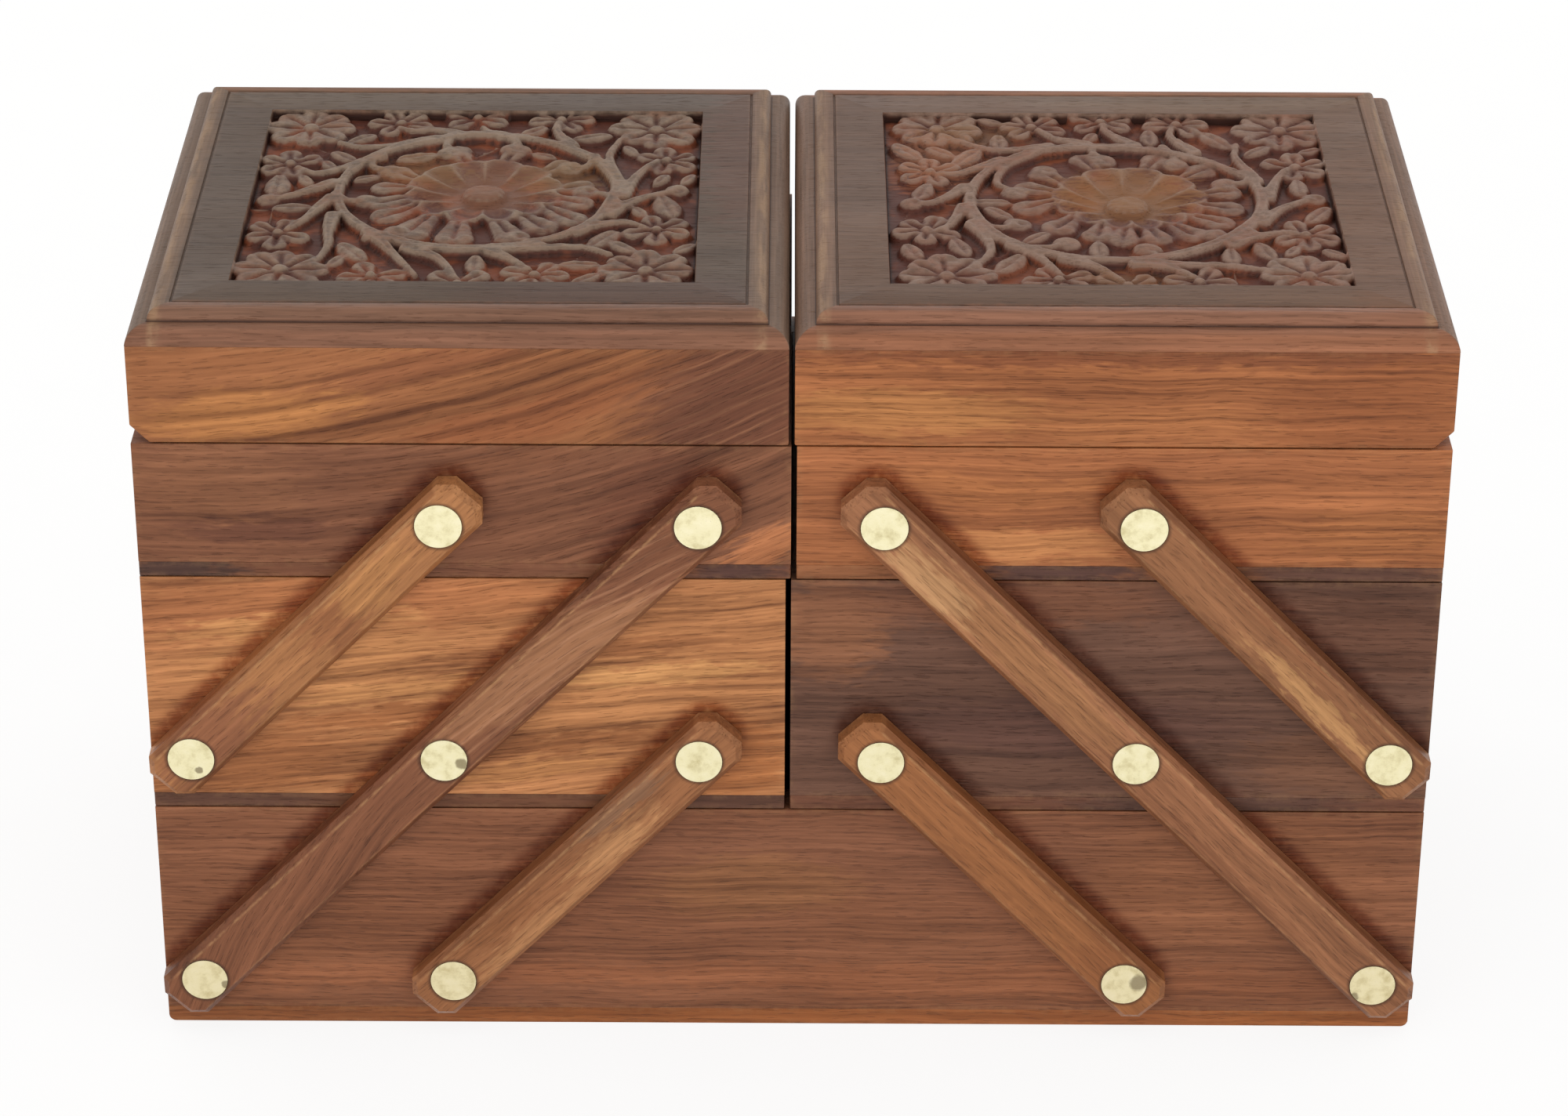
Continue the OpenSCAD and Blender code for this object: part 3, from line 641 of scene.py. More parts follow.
    def cloud(self, cells):
        """Smooth random relief with about that many cells across."""
        coarse = self.random.uniform(-1, 1, (cells + 3, cells + 3))
        gx = (self.x / PANEL[0] + 0.5) * cells + 1
        gy = (self.y / PANEL[1] + 0.5) * cells + 1
        i, j = (np.clip(np.floor(g).astype(int), 0, cells + 1) for g in (gx, gy))
        fx, fy = gx - i, gy - j
        fx, fy = fx * fx * (3 - 2 * fx), fy * fy * (3 - 2 * fy)
        near = coarse[j, i] * (1 - fx) + coarse[j, i + 1] * fx
        far = coarse[j + 1, i] * (1 - fx) + coarse[j + 1, i + 1] * fx
        return near * (1 - fy) + far * fy

    def hollow(self, reach):
        """How far each point lies under the mean of its neighbourhood, some cells wide."""
        mean = self.height.copy()
        for _ in range(reach):
            mean = neighbours(np.pad(mean, 1, mode="edge")) / 4
        return (mean - self.height) / 1.2


# Places of the carved ornament, in millimetres from each panel's middle
LEFT_PATTERN = {
    "ring": [
        (-15.6, 25.5), (-8.9, 29.3), (-2.2, 31.5), (6.3, 30.3), (13.0, 28.0), (18.7, 23.6),
        (23.5, 18.4), (27.3, 10.8), (28.6, 4.0), (27.0, -4.0), (24.9, -10.8), (21.4, -16.6),
        (15.9, -21.0), (10.1, -24.0), (4.0, -26.0), (-2.2, -26.3), (-8.9, -25.2), (-14.6, -22.2),
        (-20.3, -17.3), (-24.6, -11.1), (-27.2, -3.5), (-27.6, 4.1), (-26.5, 10.8), (-23.9, 16.5),
        (-20.3, 21.6),
    ],
    "stems": [
        [(-10.0, 28.6), (-18.0, 25.8), (-24.5, 24.8), (-29.5, 27.2)],
        [(-5.0, 31.1), (-10.2, 34.1), (-14.6, 33.6), (-17.8, 35.8)],
        [(-20.7, 19.8), (-26.4, 14.9), (-32.6, 11.2), (-36.9, 14.3)],
        [(-29.1, 5.9), (-33.8, 2.1), (-38.1, -0.7), (-41.9, -2.0)],
        [(-28.8, -1.7), (-31.1, -6.6), (-33.8, -12.7), (-36.3, -16.9)],
        [(-27.8, -10.6), (-28.0, -17.6), (-27.6, -24.4), (-28.8, -30.6)],
        [(-20.0, -18.5), (-16.2, -24.8), (-13.0, -31.0), (-9.5, -38.0)],
        [(-11.9, -26.1), (-6.8, -29.2), (-3.9, -33.4), (-1.3, -40.1)],
        [(5.0, -26.0), (14.0, -25.2), (22.0, -24.6), (28.0, -28.0)],
        [(4.5, -27.1), (8.6, -30.7), (12.5, -35.4)],
        [(20.8, -17.6), (25.2, -14.2), (30.8, -12.8), (35.3, -15.2)],
        [(27.4, -8.7), (30.5, -3.9), (35.2, 0.7), (40.9, 3.4)],
        [(29.6, 0.3), (31.3, 7.9), (33.5, 14.2), (36.3, 19.0)],
        [(28.5, 7.2), (27.0, 14.2), (26.3, 21.8), (28.1, 29.5)],
        [(18.2, 26.0), (15.9, 31.0), (14.7, 35.8), (15.6, 40.7)],
        [(3.8, 30.7), (1.0, 32.7), (-0.6, 35.8)],
    ],
    "tendrils": [
        [(-22.3, 18.4), (-21.7, 14.9), (-18.4, 12.8)], [(-6.9, 29.9), (-7.5, 26.1), (-6.5, 22.3)],
        [(5.2, 29.8), (7.1, 27.4), (6.4, 24.3)], [(23.6, 19.8), (21.7, 15.5), (18.6, 14.9)],
        [(28.9, -3.9), (26.3, 1.0), (22.6, 2.8)], [(-28.3, 0.4), (-25.4, -2.7), (-21.7, -2.7)],
        [(-20.1, -21.0), (-17.6, -20.3), (-14.5, -17.9)],
        [(14.5, -24.4), (11.7, -22.4), (9.1, -19.7)],
    ],
    "corners": [(-36.3, 35.3), (35.5, 35.4), (-35.8, -35.7), (35.1, -35.4)],
    "edges": [
        (-17.8, 38.4), (-2.0, 41.7), (15.6, 40.6), (38.0, 19.1), (36.8, -15.4), (13.7, -37.5),
        (-1.0, -41.7), (-18.0, -38.4), (-38.0, -18.1), (-38.8, 16.7),
    ],
    "buds": [
        (-41.5, -2.0), (40.4, 3.9), (-18.0, 12.9), (-6.5, 22.5), (6.4, 24.5), (18.3, 15.2),
        (22.1, 3.1), (-21.7, -2.4), (-14.7, -17.6), (9.2, -19.4),
    ],
    "lobes": [
        (-12.5, 0.5, -19.8, -4.0, 3.0), (-12.0, -4.5, -18.0, -10.5, 3.2),
        (-8.5, -9.0, -12.8, -19.0, 4.0), (-2.5, -11.0, -3.2, -21.3, 3.6),
        (4.5, -10.5, 8.8, -20.5, 3.2), (9.5, -8.0, 14.6, -15.6, 3.2),
        (13.8, -4.0, 20.6, -11.6, 3.3), (15.5, 0.5, 21.8, -3.2, 3.1), (15.5, 4.5, 22.0, 6.0, 3.0),
        (-14.0, 5.0, -19.6, 4.6, 2.8), (-12.5, 9.5, -17.0, 13.0, 2.8),
        (12.5, 13.0, 17.5, 17.0, 2.8), (-3.0, 18.0, -5.5, 24.5, 2.8), (5.0, 18.5, 7.5, 25.2, 2.8),
    ],
    "cup": (1.6, 3.4, 16.4, 16.2, 1.5, 3.0),
}

RIGHT_PATTERN = {
    "ring": [
        (0.9, 26.5), (9.5, 24.9), (18.0, 21.0), (24.7, 15.5), (29.3, 8.9), (30.6, 0.3),
        (29.2, -8.3), (25.2, -15.9), (19.0, -22.6), (10.4, -28.0), (0.9, -30.0), (-8.6, -29.0),
        (-17.2, -25.0), (-23.9, -17.8), (-27.2, -9.2), (-28.2, -0.7), (-26.4, 8.9), (-21.7, 17.2),
        (-15.3, 23.1), (-7.7, 26.2),
    ],
    "stems": [
        [(-11.1, 26.5), (-18.1, 24.7), (-24.5, 25.7), (-29.6, 30.0)],
        [(-3.4, 27.7), (-8.5, 30.3), (-11.0, 33.1), (-12.9, 36.2)],
        [(-21.3, 18.8), (-26.4, 15.0), (-30.9, 12.6), (-34.8, 13.3)],
        [(-29.3, 4.9), (-32.6, 0.7), (-36.1, -2.0), (-39.5, -2.4)],
        [(-29.6, -4.8), (-31.1, -9.6), (-33.3, -14.4), (-36.8, -16.5)],
        [(-28.0, -13.1), (-25.5, -19.9), (-24.9, -26.0), (-28.1, -32.9)],
        [(-20.5, -23.0), (-16.1, -27.5), (-13.6, -32.3), (-11.5, -37.0)],
        [(-10.5, -29.6), (-5.5, -32.6), (-2.4, -36.0), (0.7, -40.5)],
        [(3.3, -31.7), (12.1, -32.0), (20.9, -32.3), (30.2, -34.6)],
        [(6.5, -31.8), (11.4, -34.6), (15.1, -38.7)],
        [(22.9, -22.0), (28.0, -18.2), (33.1, -16.2), (37.5, -17.2)],
        [(29.8, -11.0), (33.3, -5.5), (37.2, -1.7), (41.0, 0.6)],
        [(31.8, 0.7), (33.6, 7.6), (35.6, 13.2), (38.2, 17.3)],
        [(30.2, 9.0), (28.4, 16.0), (27.0, 22.2), (27.7, 28.5)],
        [(18.7, 24.0), (15.9, 28.5), (14.4, 33.4), (15.4, 39.0)],
        [(6.7, 27.3), (3.5, 31.3), (1.0, 36.2), (0.8, 40.5)],
    ],
    "tendrils": [
        [(-13.7, 23.7), (-20.1, 16.7), (-22.4, 8.4), (-18.9, 3.5)],
        [(-2.2, 27.2), (-2.0, 23.7), (-0.4, 20.1)], [(12.4, 26.5), (14.3, 22.2), (14.2, 18.1)],
        [(30.2, 10.4), (27.3, 8.3), (23.9, 8.0)],
        [(-28.8, -7.6), (-26.0, -12.3), (-22.3, -14.1), (-19.1, -12.3)],
        [(-24.2, -19.2), (-18.6, -23.0), (-13.6, -24.1), (-9.8, -22.0)],
        [(8.4, -31.2), (7.7, -28.1), (6.0, -24.7)], [(27.4, -16.5), (23.7, -19.0), (19.9, -17.5)],
    ],
    "corners": [(-33.9, 36.5), (37.3, 36.4), (-33.8, -37.2), (36.6, -36.6)],
    "edges": [
        (-14.2, 38.0), (0.5, 40.8), (16.1, 39.5), (38.9, 17.3), (37.8, -16.9), (15.1, -39.4),
        (1.1, -41.3), (-12.1, -38.6), (-37.2, -15.2), (-35.8, 14.4),
    ],
    "buds": [
        (-39.9, -2.1), (41.2, 1.0), (-12.5, 14.8), (-0.4, 20.3), (14.2, 18.4), (23.8, 8.1),
        (-18.9, 3.5), (-19.1, -12.1), (-9.8, -21.7), (6.0, -24.4), (19.9, -17.2),
    ],
    "lobes": [
        (-11.0, 4.5, -17.4, 6.0, 3.1), (-11.5, -0.5, -17.6, -4.6, 3.3),
        (-7.5, -8.0, -11.6, -14.8, 3.3), (-2.0, -11.5, -3.6, -18.6, 3.1),
        (2.5, -13.0, 1.2, -20.6, 3.0), (7.0, -13.0, 8.6, -19.6, 3.0),
        (11.5, -11.0, 16.0, -17.6, 3.2), (16.0, -7.0, 22.2, -11.6, 3.2),
        (18.5, -2.0, 24.8, -4.0, 3.2), (18.8, 4.0, 25.0, 4.6, 3.0), (15.5, 12.0, 20.6, 16.0, 2.9),
        (8.0, 15.5, 11.0, 21.6, 2.8), (-2.0, 15.5, -4.6, 21.8, 2.8), (-9.0, 9.5, -13.6, 14.4, 3.0),
    ],
    "cup": (4.0, 1.5, 16.0, 15.9, 3.5, -1.6),
}


def carve(pattern, seed):
    """A lid's relief from its pattern. A form shows where it is higher than those before it."""
    c = Carving(seed)
    for x, y, to_x, to_y, tip in pattern["lobes"]:
        angle = math.atan2(to_y - y, to_x - x)
        length = math.hypot(to_x - x, to_y - y) + tip * 0.6 + 0.4
        c.lobe(x, y, angle, length, tip * 0.7, tip + 0.6, -0.35, 0.45, 0.7, 1.0, 0.5)
    c.cup(*pattern["cup"], 12)
    for points in pattern["tendrils"]:
        c.stem(c.path(points), [1.3, 1.05, 0.8], top=-0.2, drop=0.25)
    for points in pattern["stems"]:
        c.stem(c.path(points), [1.8, 1.1, 0.8], top=-0.04, drop=0.25, groove=0.25)
    ring = c.path(pattern["ring"], closed=True)
    c.stem(ring, [1.35, 1.1, 1.7, 1.05, 1.6, 1.1, 1.35], groove=0.25)
    for x, y in pattern["edges"]:
        c.flower(x, y, 7.4, 5, math.atan2(y, x), 4.5, top=-0.25)
    for x, y in pattern["corners"]:
        c.flower(x, y, 9.9, 8, math.atan2(y, x), top=-0.15)
    for x, y in pattern["buds"]:
        within_ring = math.hypot(x, y) < 30
        c.bud(x, y, 3.1 if within_ring else 2.7)
    c.fill(2.7, 24)
    c.finish()
    return c


# Meshes that take the place of solids
def grid_faces(index):
    """Faces between the points of a grid, and the points of its rim, anticlockwise."""
    quads = np.stack([index[:-1, :-1], index[:-1, 1:], index[1:, 1:], index[1:, :-1]], -1)
    rim = np.concatenate([index[0, :-1], index[:-1, -1], index[-1, :0:-1], index[:0:-1, 0]])
    return quads.reshape(-1, 4), rim


def between(ring, outer):
    """Faces between two closed rings of as many points."""
    return np.stack([ring, outer, np.roll(outer, -1), np.roll(ring, -1)], -1)


def dress(name, vertices, faces, node, body):
    """A smooth mesh, given in millimetres, that takes a solid's place on its body."""
    mesh = bpy.data.meshes.new(name)
    mesh.from_pydata((vertices / 1000).tolist(), [], faces)
    mesh.update()
    mesh.shade_smooth()
    piece = bpy.data.objects.new(name, mesh)
    bpy.context.scene.collection.objects.link(piece)
    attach(piece, body)
    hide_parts(node)
    return piece


def quarter_round(inset, height, radius, steps):
    turns = [math.radians(90 * k / steps) for k in range(1, steps + 1)]
    return [(inset + radius * (1 - math.cos(a)), height + radius * math.sin(a), 0.0) for a in turns]


def board_profile():
    """The board's edge as (inset, height, how much painted shade with dirt darkens the crease),
    from its underside over a round, a step, a bead and a fine quirk to the flat border."""
    edge_radius, bead_radius, bead_inset, bead_foot, crest = 3.4, 2.0, 4.0, 3.8, 0.08
    top, floor = BOARD_THICKNESS, BOARD_THICKNESS - QUIRK_DEPTH
    near, far = QUIRK_INSET, QUIRK_INSET + QUIRK_WIDTH
    points = [(0.0, 0.0, 0.0), (0.0, 0.2, 0.0)]
    points += quarter_round(0.0, 0.0, edge_radius, 8)
    points += [(3.7, 3.4, 0.15), (3.9, 3.42, 0.75), (bead_inset, 3.5, 0.75), (4.02, 3.78, 0.4)]
    points += quarter_round(bead_inset, bead_foot, bead_radius, 6)
    points += [(near - 0.12, top, 0.0), (near, top - crest, 0.1), (near + crest, floor, 0.3)]
    points += [(far - crest, floor, 0.3), (far, top - crest, 0.1), (far + 0.12, top, 0.0)]
    return points


def carved_board(side, carving):
    """A lid's top board as one closed mesh: underside, moulded edge, flat border and carving."""
    node = side + "_lid_carved_board"
    low, high = (Vector(c) * 1000 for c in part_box(node))
    middle = (low + high) / 2
    half = (high.x - low.x) / 2, (high.y - low.y) / 2
    panel_half = [size / 2 for size in PANEL]
    x, y, height = (grid.ravel() for grid in (carving.x, carving.y, carving.height))
    quads, rim = grid_faces(np.arange(x.size).reshape(carving.x.shape))
    vertices = [np.stack([x + middle.x, y + middle.y, height + low.z + BOARD_THICKNESS], 1)]
    # How hollow each point is, which the wood darkens with painted shade and dirt
    hollow = [np.maximum(carving.hollow(14), carving.hollow(3) * 2.2).ravel()]
    hollow[0][rim] = 0

    # Rings run anticlockwise round the panel's edge and out over the moulding
    lip = [far - near - 0.05 for far, near in zip(half, panel_half)]
    rings = [(*lip, BOARD_THICKNESS, 0.0)] + [(p[0], *p) for p in reversed(board_profile())]
    ring, faces = rim, [quads]
    for k, (x_inset, y_inset, z, dark) in enumerate(rings):
        ring_x = x[rim] * (half[0] - x_inset) / panel_half[0] + middle.x
        ring_y = y[rim] * (half[1] - y_inset) / panel_half[1] + middle.y
        vertices.append(np.stack([ring_x, ring_y, np.full(rim.size, low.z + z)], 1))
        # Each ring's crease value darkens it with painted shade and dirt
        hollow.append(np.full(rim.size, dark))
        outer = np.arange(rim.size) + x.size + k * rim.size
        faces.append(between(ring, outer))
        ring = outer
    faces = np.vstack(faces).tolist() + [ring[::-1].tolist()]
    piece = dress(side + "_lid_carving", np.vstack(vertices), faces, node, side + "_lid")
    depth = np.zeros(len(piece.data.vertices))
    depth[: x.size] = np.clip(-height / carving.FULL_DEPTH, 0, 1)
    for name, values in (("depth", depth), ("hollow", np.concatenate(hollow))):
        attribute = piece.data.attributes.new(name, "FLOAT", "POINT")
        attribute.data.foreach_set("value", values.astype(np.float32))
    piece.modifiers.new("Edges", "EDGE_SPLIT").split_angle = math.radians(62)
    return piece


def felt_sheet(node, body, seed):
    """A felt lining laid in a tray: a thin sheet with soft edges and slight waves."""
    cell, thickness, clearance, wave_height, soft_edge = 2.0, 0.92, 0.02, 0.22, 0.8
    low, high = (Vector(c) * 1000 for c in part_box(node))
    wide, deep = high.x - low.x, high.y - low.y
    random = np.random.default_rng(seed)
    columns = np.linspace(low.x, high.x, int(wide / cell))
    rows = np.linspace(low.y, high.y, int(deep / cell))
    x, y = np.meshgrid(columns, rows)
    waves = [random.uniform(-1, 1, 3) for _ in range(5)]
    lift = sum(np.sin(x * 0.05 * a + y * 0.07 * b + c * 6) for a, b, c in waves)
    lift = (lift - lift.min()) / (lift.max() - lift.min()) * wave_height
    edge = np.minimum.reduce([x - low.x, high.x - x, y - low.y, high.y - y])
    rounding = 0.35 * np.exp(-edge / soft_edge)
    upper = low.z + thickness + lift - rounding
    lower = low.z + clearance + lift * 0.35 + rounding * 0.4
    vertices = [np.stack([x.ravel(), y.ravel(), z.ravel()], 1) for z in (upper, lower)]
    quads, rim = grid_faces(np.arange(x.size).reshape(x.shape))
    faces = np.vstack([quads, quads[:, ::-1] + x.size, between(rim, rim + x.size)]).tolist()
    piece = dress(node + "_felt", np.vstack(vertices), faces, node, body)
    piece.data.materials.append(felt_cloth)


def finish_solid(obj, material, bevel, angle=38.0):
    """Gives a solid its material and eases its arrises."""
    obj.data.materials.clear()
    obj.data.materials.append(material)
    weld = obj.modifiers.new("Weld", "WELD")
    weld.merge_threshold = 2e-6
    ease = obj.modifiers.new("Eased edges", "BEVEL")
    ease.width = bevel / 1000
    ease.segments = 3
    ease.limit_method = "ANGLE"
    ease.angle_limit = math.radians(angle)
    ease.harden_normals = angle < 60
    ease.use_clamp_overlap = True


felt_cloth = felt("felt_cloth")

# Grain and tones of each board, read along its length (u) and up its face (v) in millimetres
LOOKS = {
    "base": dict(
        tone=(129, 83, 59), line=0.8,
        patches=(
            (-100, -10, 40, 16, (134, 86, 60), 0.8), (0, -17, 140, 5, (140, 88, 60), 0.8),
            (20, 14, 60, 10, (122, 79, 58), 0.8), (90, 8, 30, 18, (136, 88, 60), 0.6),
            (-8, 6, 22, 7, (142, 96, 64), 0.7), (-50, -21, 70, 4, (122, 79, 57), 0.8),
        ),
    ),
    "base_bottom": dict(
        tone=(149, 91, 53), contrast=0.8, line=0.8,
        patches=((-100, 0, 30, 9, (136, 84, 52), 0.8), (50, 0, 40, 9, (142, 86, 52), 0.7)),
    ),
    "left_middle": dict(
        tone=(176, 120, 79), slope=-0.10, contrast=1.15,
        patches=(
            (-20, 20, 70, 8, (166, 106, 68), 0.8), (-30, 6, 26, 10, (188, 132, 86), 0.8),
            (30, 0, 30, 12, (184, 128, 84), 0.7), (-48, -18, 30, 8, (158, 102, 64), 0.9),
            (52, -16, 14, 10, (164, 104, 62), 0.9), (-56, 18, 10, 12, (162, 104, 68), 0.6),
            (-34, 14, 26, 2.6, (200, 144, 94), 0.8), (20, 8, 34, 2.4, (152, 98, 62), 0.8),
            (36, 3, 24, 2.2, (204, 150, 98), 0.8), (-10, -6, 30, 2.4, (154, 98, 60), 0.8),
            (-14, -1, 26, 2.2, (198, 142, 92), 0.7), (8, -19, 26, 2.4, (196, 138, 88), 0.7),
            (16, -13, 30, 2.2, (146, 92, 56), 0.7),
        ),
        streaks=((12.0, 0.8, -60, 0, 0.16), (3.0, 0.9, -20, 60, 0.16), (-12.0, 1.2, -60, 40, 0.2)),
    ),
    "right_middle": dict(
        tone=(102, 71, 58), contrast=0.9,
        patches=(
            (-56, 14, 12, 12, (138, 92, 66), 0.9), (-20, 20, 40, 6, (126, 82, 60), 0.8),
            (30, 16, 26, 8, (114, 78, 62), 0.7), (-10, -8, 40, 7, (92, 62, 54), 0.8),
            (46, -16, 20, 8, (118, 80, 60), 0.8), (52, 12, 18, 12, (92, 60, 46), 0.9),
        ),
        streaks=((8.0, 1.2, -40, 60, 0.18), (-14.0, 1.0, -60, 20, 0.16)),
    ),
    "left_top": dict(
        tone=(126, 82, 60), slope=-0.20, curve=-0.0022, contrast=0.85,
        patches=(
            (-48, 4, 18, 9, (138, 92, 66), 0.9), (-40, -6, 16, 3, (106, 66, 50), 0.9),
            (36, 0, 12, 12, (116, 71, 52), 0.8), (58, -10, 9, 5, (176, 114, 76), 0.9),
            (4, 8, 26, 4, (134, 86, 60), 0.6),
        ),
        streaks=((1.0, 1.0, -62, 4, 0.26), (5.0, 0.8, -60, 10, 0.18), (-3.5, 0.9, -20, 62, 0.22)),
    ),
    "right_top": dict(
        tone=(158, 99, 63), line=0.9,
        patches=(
            (-18, -8, 20, 4, (180, 122, 78), 0.9), (-54, 2, 12, 12, (162, 102, 66), 0.8),
            (-22, 6, 26, 6, (174, 112, 70), 0.9), (50, -6, 18, 6, (164, 105, 64), 0.7),
            (10, 9, 60, 3.5, (146, 90, 58), 0.7),
        ),
        streaks=((-2.0, 0.5, -60, 60, 0.2), (5.0, 0.5, -30, 60, 0.2)),
    ),
    "left_lid": dict(
        tone=(150, 97, 63), rings=(2.6, 0.5, 34, 66, (158, 112, 84), 0.45), slope=-0.279,
        curve=-0.00197, contrast=0.66,
        patches=(
            (-40, -4, 22, 6, (180, 122, 74), 0.9), (10, -6, 30, 5, (146, 88, 56), 0.7),
            (-6, 6, 30, 3, (132, 80, 54), 0.6), (56, 0, 26, 22, (110, 68, 50), 1.0),
        ),
        streaks=(
            (5.2, 1.1, -64, 40, 0.36), (2.4, 0.7, -10, 44, 0.24), (-1.2, 1.0, -64, 34, 0.42),
            (-3.8, 0.7, -30, 30, 0.26), (-7.4, 0.9, -20, 50, 0.22), (9.5, 1.0, -64, 0, 0.24),
        ),
    ),
    "right_lid": dict(
        tone=(164, 104, 66), contrast=0.95, line=0.8,
        patches=(
            (-42, -3, 28, 5, (184, 126, 78), 0.9), (48, -2, 22, 14, (143, 86, 53), 0.8),
            (0, 9.5, 90, 2.6, (136, 82, 54), 0.9), (4, -5, 24, 4, (172, 112, 70), 0.6),
        ),
        streaks=((1.5, 0.5, -60, 20, 0.22), (-4.0, 0.4, -20, 60, 0.2), (4.5, 0.6, -60, 60, 0.22)),
    ),
    "left_middle_bottom": dict(
        tone=(88, 58, 46), contrast=0.8,
        patches=((0, 0, 34, 9, (104, 66, 46), 0.8),),
    ),
    "right_middle_bottom": dict(
        tone=(104, 66, 50), contrast=0.8,
        patches=((20, 0, 30, 9, (84, 58, 50), 0.9),),
    ),
    "left_top_bottom": dict(
        tone=(116, 74, 54), contrast=0.8,
        patches=((-56, 0, 12, 9, (78, 54, 48), 1.0), (54, 0, 10, 9, (84, 56, 50), 1.0)),
    ),
    "right_top_bottom": dict(
        tone=(140, 90, 60), contrast=0.8,
        patches=((-12, 0, 18, 9, (88, 60, 54), 1.0), (44, 0, 24, 9, (92, 62, 52), 1.0)),
    ),
    "left_lid_board": dict(
        tone=(90, 75, 66), contrast=0.5, line=0.9, roughness=0.5,
        carved=((82, 38, 26), (128, 66, 40), (146, 124, 106), (138, 104, 84)),
        edge=((138, 96, 74), (148, 96, 70), (126, 100, 82)),
        patches=(
            (-40, -46, 40, 12, (98, 84, 76), 0.7), (30, -50, 30, 12, (92, 72, 66), 0.7),
            (56, 20, 12, 40, (104, 74, 64), 0.6), (-30, 52, 40, 8, (104, 86, 70), 0.6),
        ),
        tints=(
            (1.6, 6, 16, 13, (140, 98, 72), 0.5), (-12, 14, 10, 8, (142, 108, 68), 0.35),
            (18, 12, 10, 8, (142, 110, 72), 0.35),
        ),
        embers=((10, -34, 12, 5), (-16, -36, 6, 4), (24, -36, 6, 4), (-14, -12, 5, 6)),
    ),
    "right_lid_board": dict(
        tone=(108, 84, 71), contrast=0.5, line=0.9, roughness=0.5,
        carved=((88, 42, 30), (126, 66, 40), (148, 120, 104), (142, 102, 84)),
        edge=((154, 104, 80), (162, 100, 66), (130, 100, 82)),
        patches=(
            (-30, -52, 50, 10, (96, 76, 66), 0.7), (52, -20, 10, 50, (114, 84, 68), 0.7),
            (-50, 20, 10, 40, (104, 84, 76), 0.6), (20, 52, 40, 8, (114, 92, 74), 0.6),
        ),
        tints=(
            (3.5, 4, 16, 13, (152, 108, 68), 0.6), (-34, 22, 9, 14, (164, 110, 80), 0.5),
            (-26, 34, 12, 6, (140, 104, 70), 0.4), (2, -38, 10, 5, (136, 96, 60), 0.4),
        ),
        embers=((-18, -34, 8, 5), (20, -10, 8, 6), (-36, 10, 5, 8)),
    ),
    "left_long_arm": dict(
        tone=(126, 81, 58), rings=(2.4, 0.55, -6, 70, (170, 124, 96), 0.6), slope=-0.0124,
        curve=0.0027, contrast=0.8,
        patches=((30, 1, 30, 6, (158, 112, 81), 0.8), (62, 0, 12, 9, (122, 78, 56), 0.8)),
    ),
    "left_upper_arm": dict(
        tone=(170, 118, 78), contrast=0.66,
        patches=(
            (-30, 0, 14, 9, (142, 92, 66), 0.9), (6, 0, 6, 9, (148, 96, 63), 0.8),
            (18, 1, 10, 5, (180, 128, 82), 0.8),
        ),
    ),
    "left_lower_arm": dict(
        tone=(150, 101, 68), contrast=0.75, slope=0.03,
        patches=(
            (-14, -4, 22, 2.6, (172, 124, 86), 0.9), (10, -1, 12, 3, (180, 132, 92), 0.9),
            (18, 4, 12, 2.4, (140, 104, 80), 0.9), (-20, 3, 12, 2.4, (136, 88, 56), 0.8),
        ),
    ),
    "right_long_arm": dict(
        tone=(147, 100, 71), contrast=0.85,
        patches=(
            (34, 0, 34, 5, (156, 110, 75), 0.9), (58, -2, 12, 4, (176, 134, 96), 0.9),
            (-30, -4, 30, 2, (132, 86, 60), 0.7),
        ),
        streaks=((0.5, 0.5, 4, 60, 0.22), (-2.5, 0.4, 20, 64, 0.18)),
    ),
    "right_upper_arm": dict(
        tone=(142, 97, 67), contrast=0.7,
        patches=(
            (-16, -1.5, 20, 2.2, (174, 130, 88), 0.9), (-10, -5, 30, 1.6, (128, 86, 60), 0.8),
            (4, 5, 34, 1.6, (142, 94, 64), 0.8),
        ),
    ),
    "right_lower_arm": dict(
        tone=(153, 101, 64), contrast=0.55,
        patches=((0, -5, 34, 1.6, (136, 88, 56), 0.8), (-30, 0, 8, 9, (140, 88, 56), 0.6)),
    ),
}

# Trays, lids and arms. A side is -1 on the left and 1 on the right
SIDES = {"left": -1, "right": 1}
X, Y, Z = Vector((1, 0, 0)), Vector((0, 1, 0)), Vector((0, 0, 1))
seeds = itertools.count(1.0)


def board(node, look, along, across, bevel=0.4, angle=38.0, **more):
    look = dict(LOOKS[look], seed=next(seeds), **more)
    wood = rosewood(node + "_wood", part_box(node), along, across, **look)
    finish_solid(nodes[node], wood, bevel, angle)


def pin_place(pin, way):
    """A pin's place on one side, as (x, z)."""
    return way * PINS[pin][0], PINS[pin][1]


def tray(prefix, look, bottom_look, *ways):
    # The closed arms on each wall, along whose upper edges shade is painted
    arms = [(pin_place(a, way), pin_place(b, way)) for way in ways for a, b in ("AC", "EF", "GH")]
    board(prefix + "_bottom", bottom_look, X, Z, 0.3)
    for face in ("front", "back"):
        board(f"{prefix}_{face}_wall", look, X, Z, arms=arms)
    board(prefix + "_end_walls", look, Y, Z)


tray("base", "base", "base_bottom", -1, 1)
for side, way in SIDES.items():
    for tier in ("middle", "top"):
        tray(f"{side}_{tier}_tray", f"{side}_{tier}", f"{side}_{tier}_bottom", way)
    for rail, along in (("front_rail", X), ("back_rail", X), ("end_rails", Y)):
        board(f"{side}_lid_{rail}", side + "_lid", along, Z)

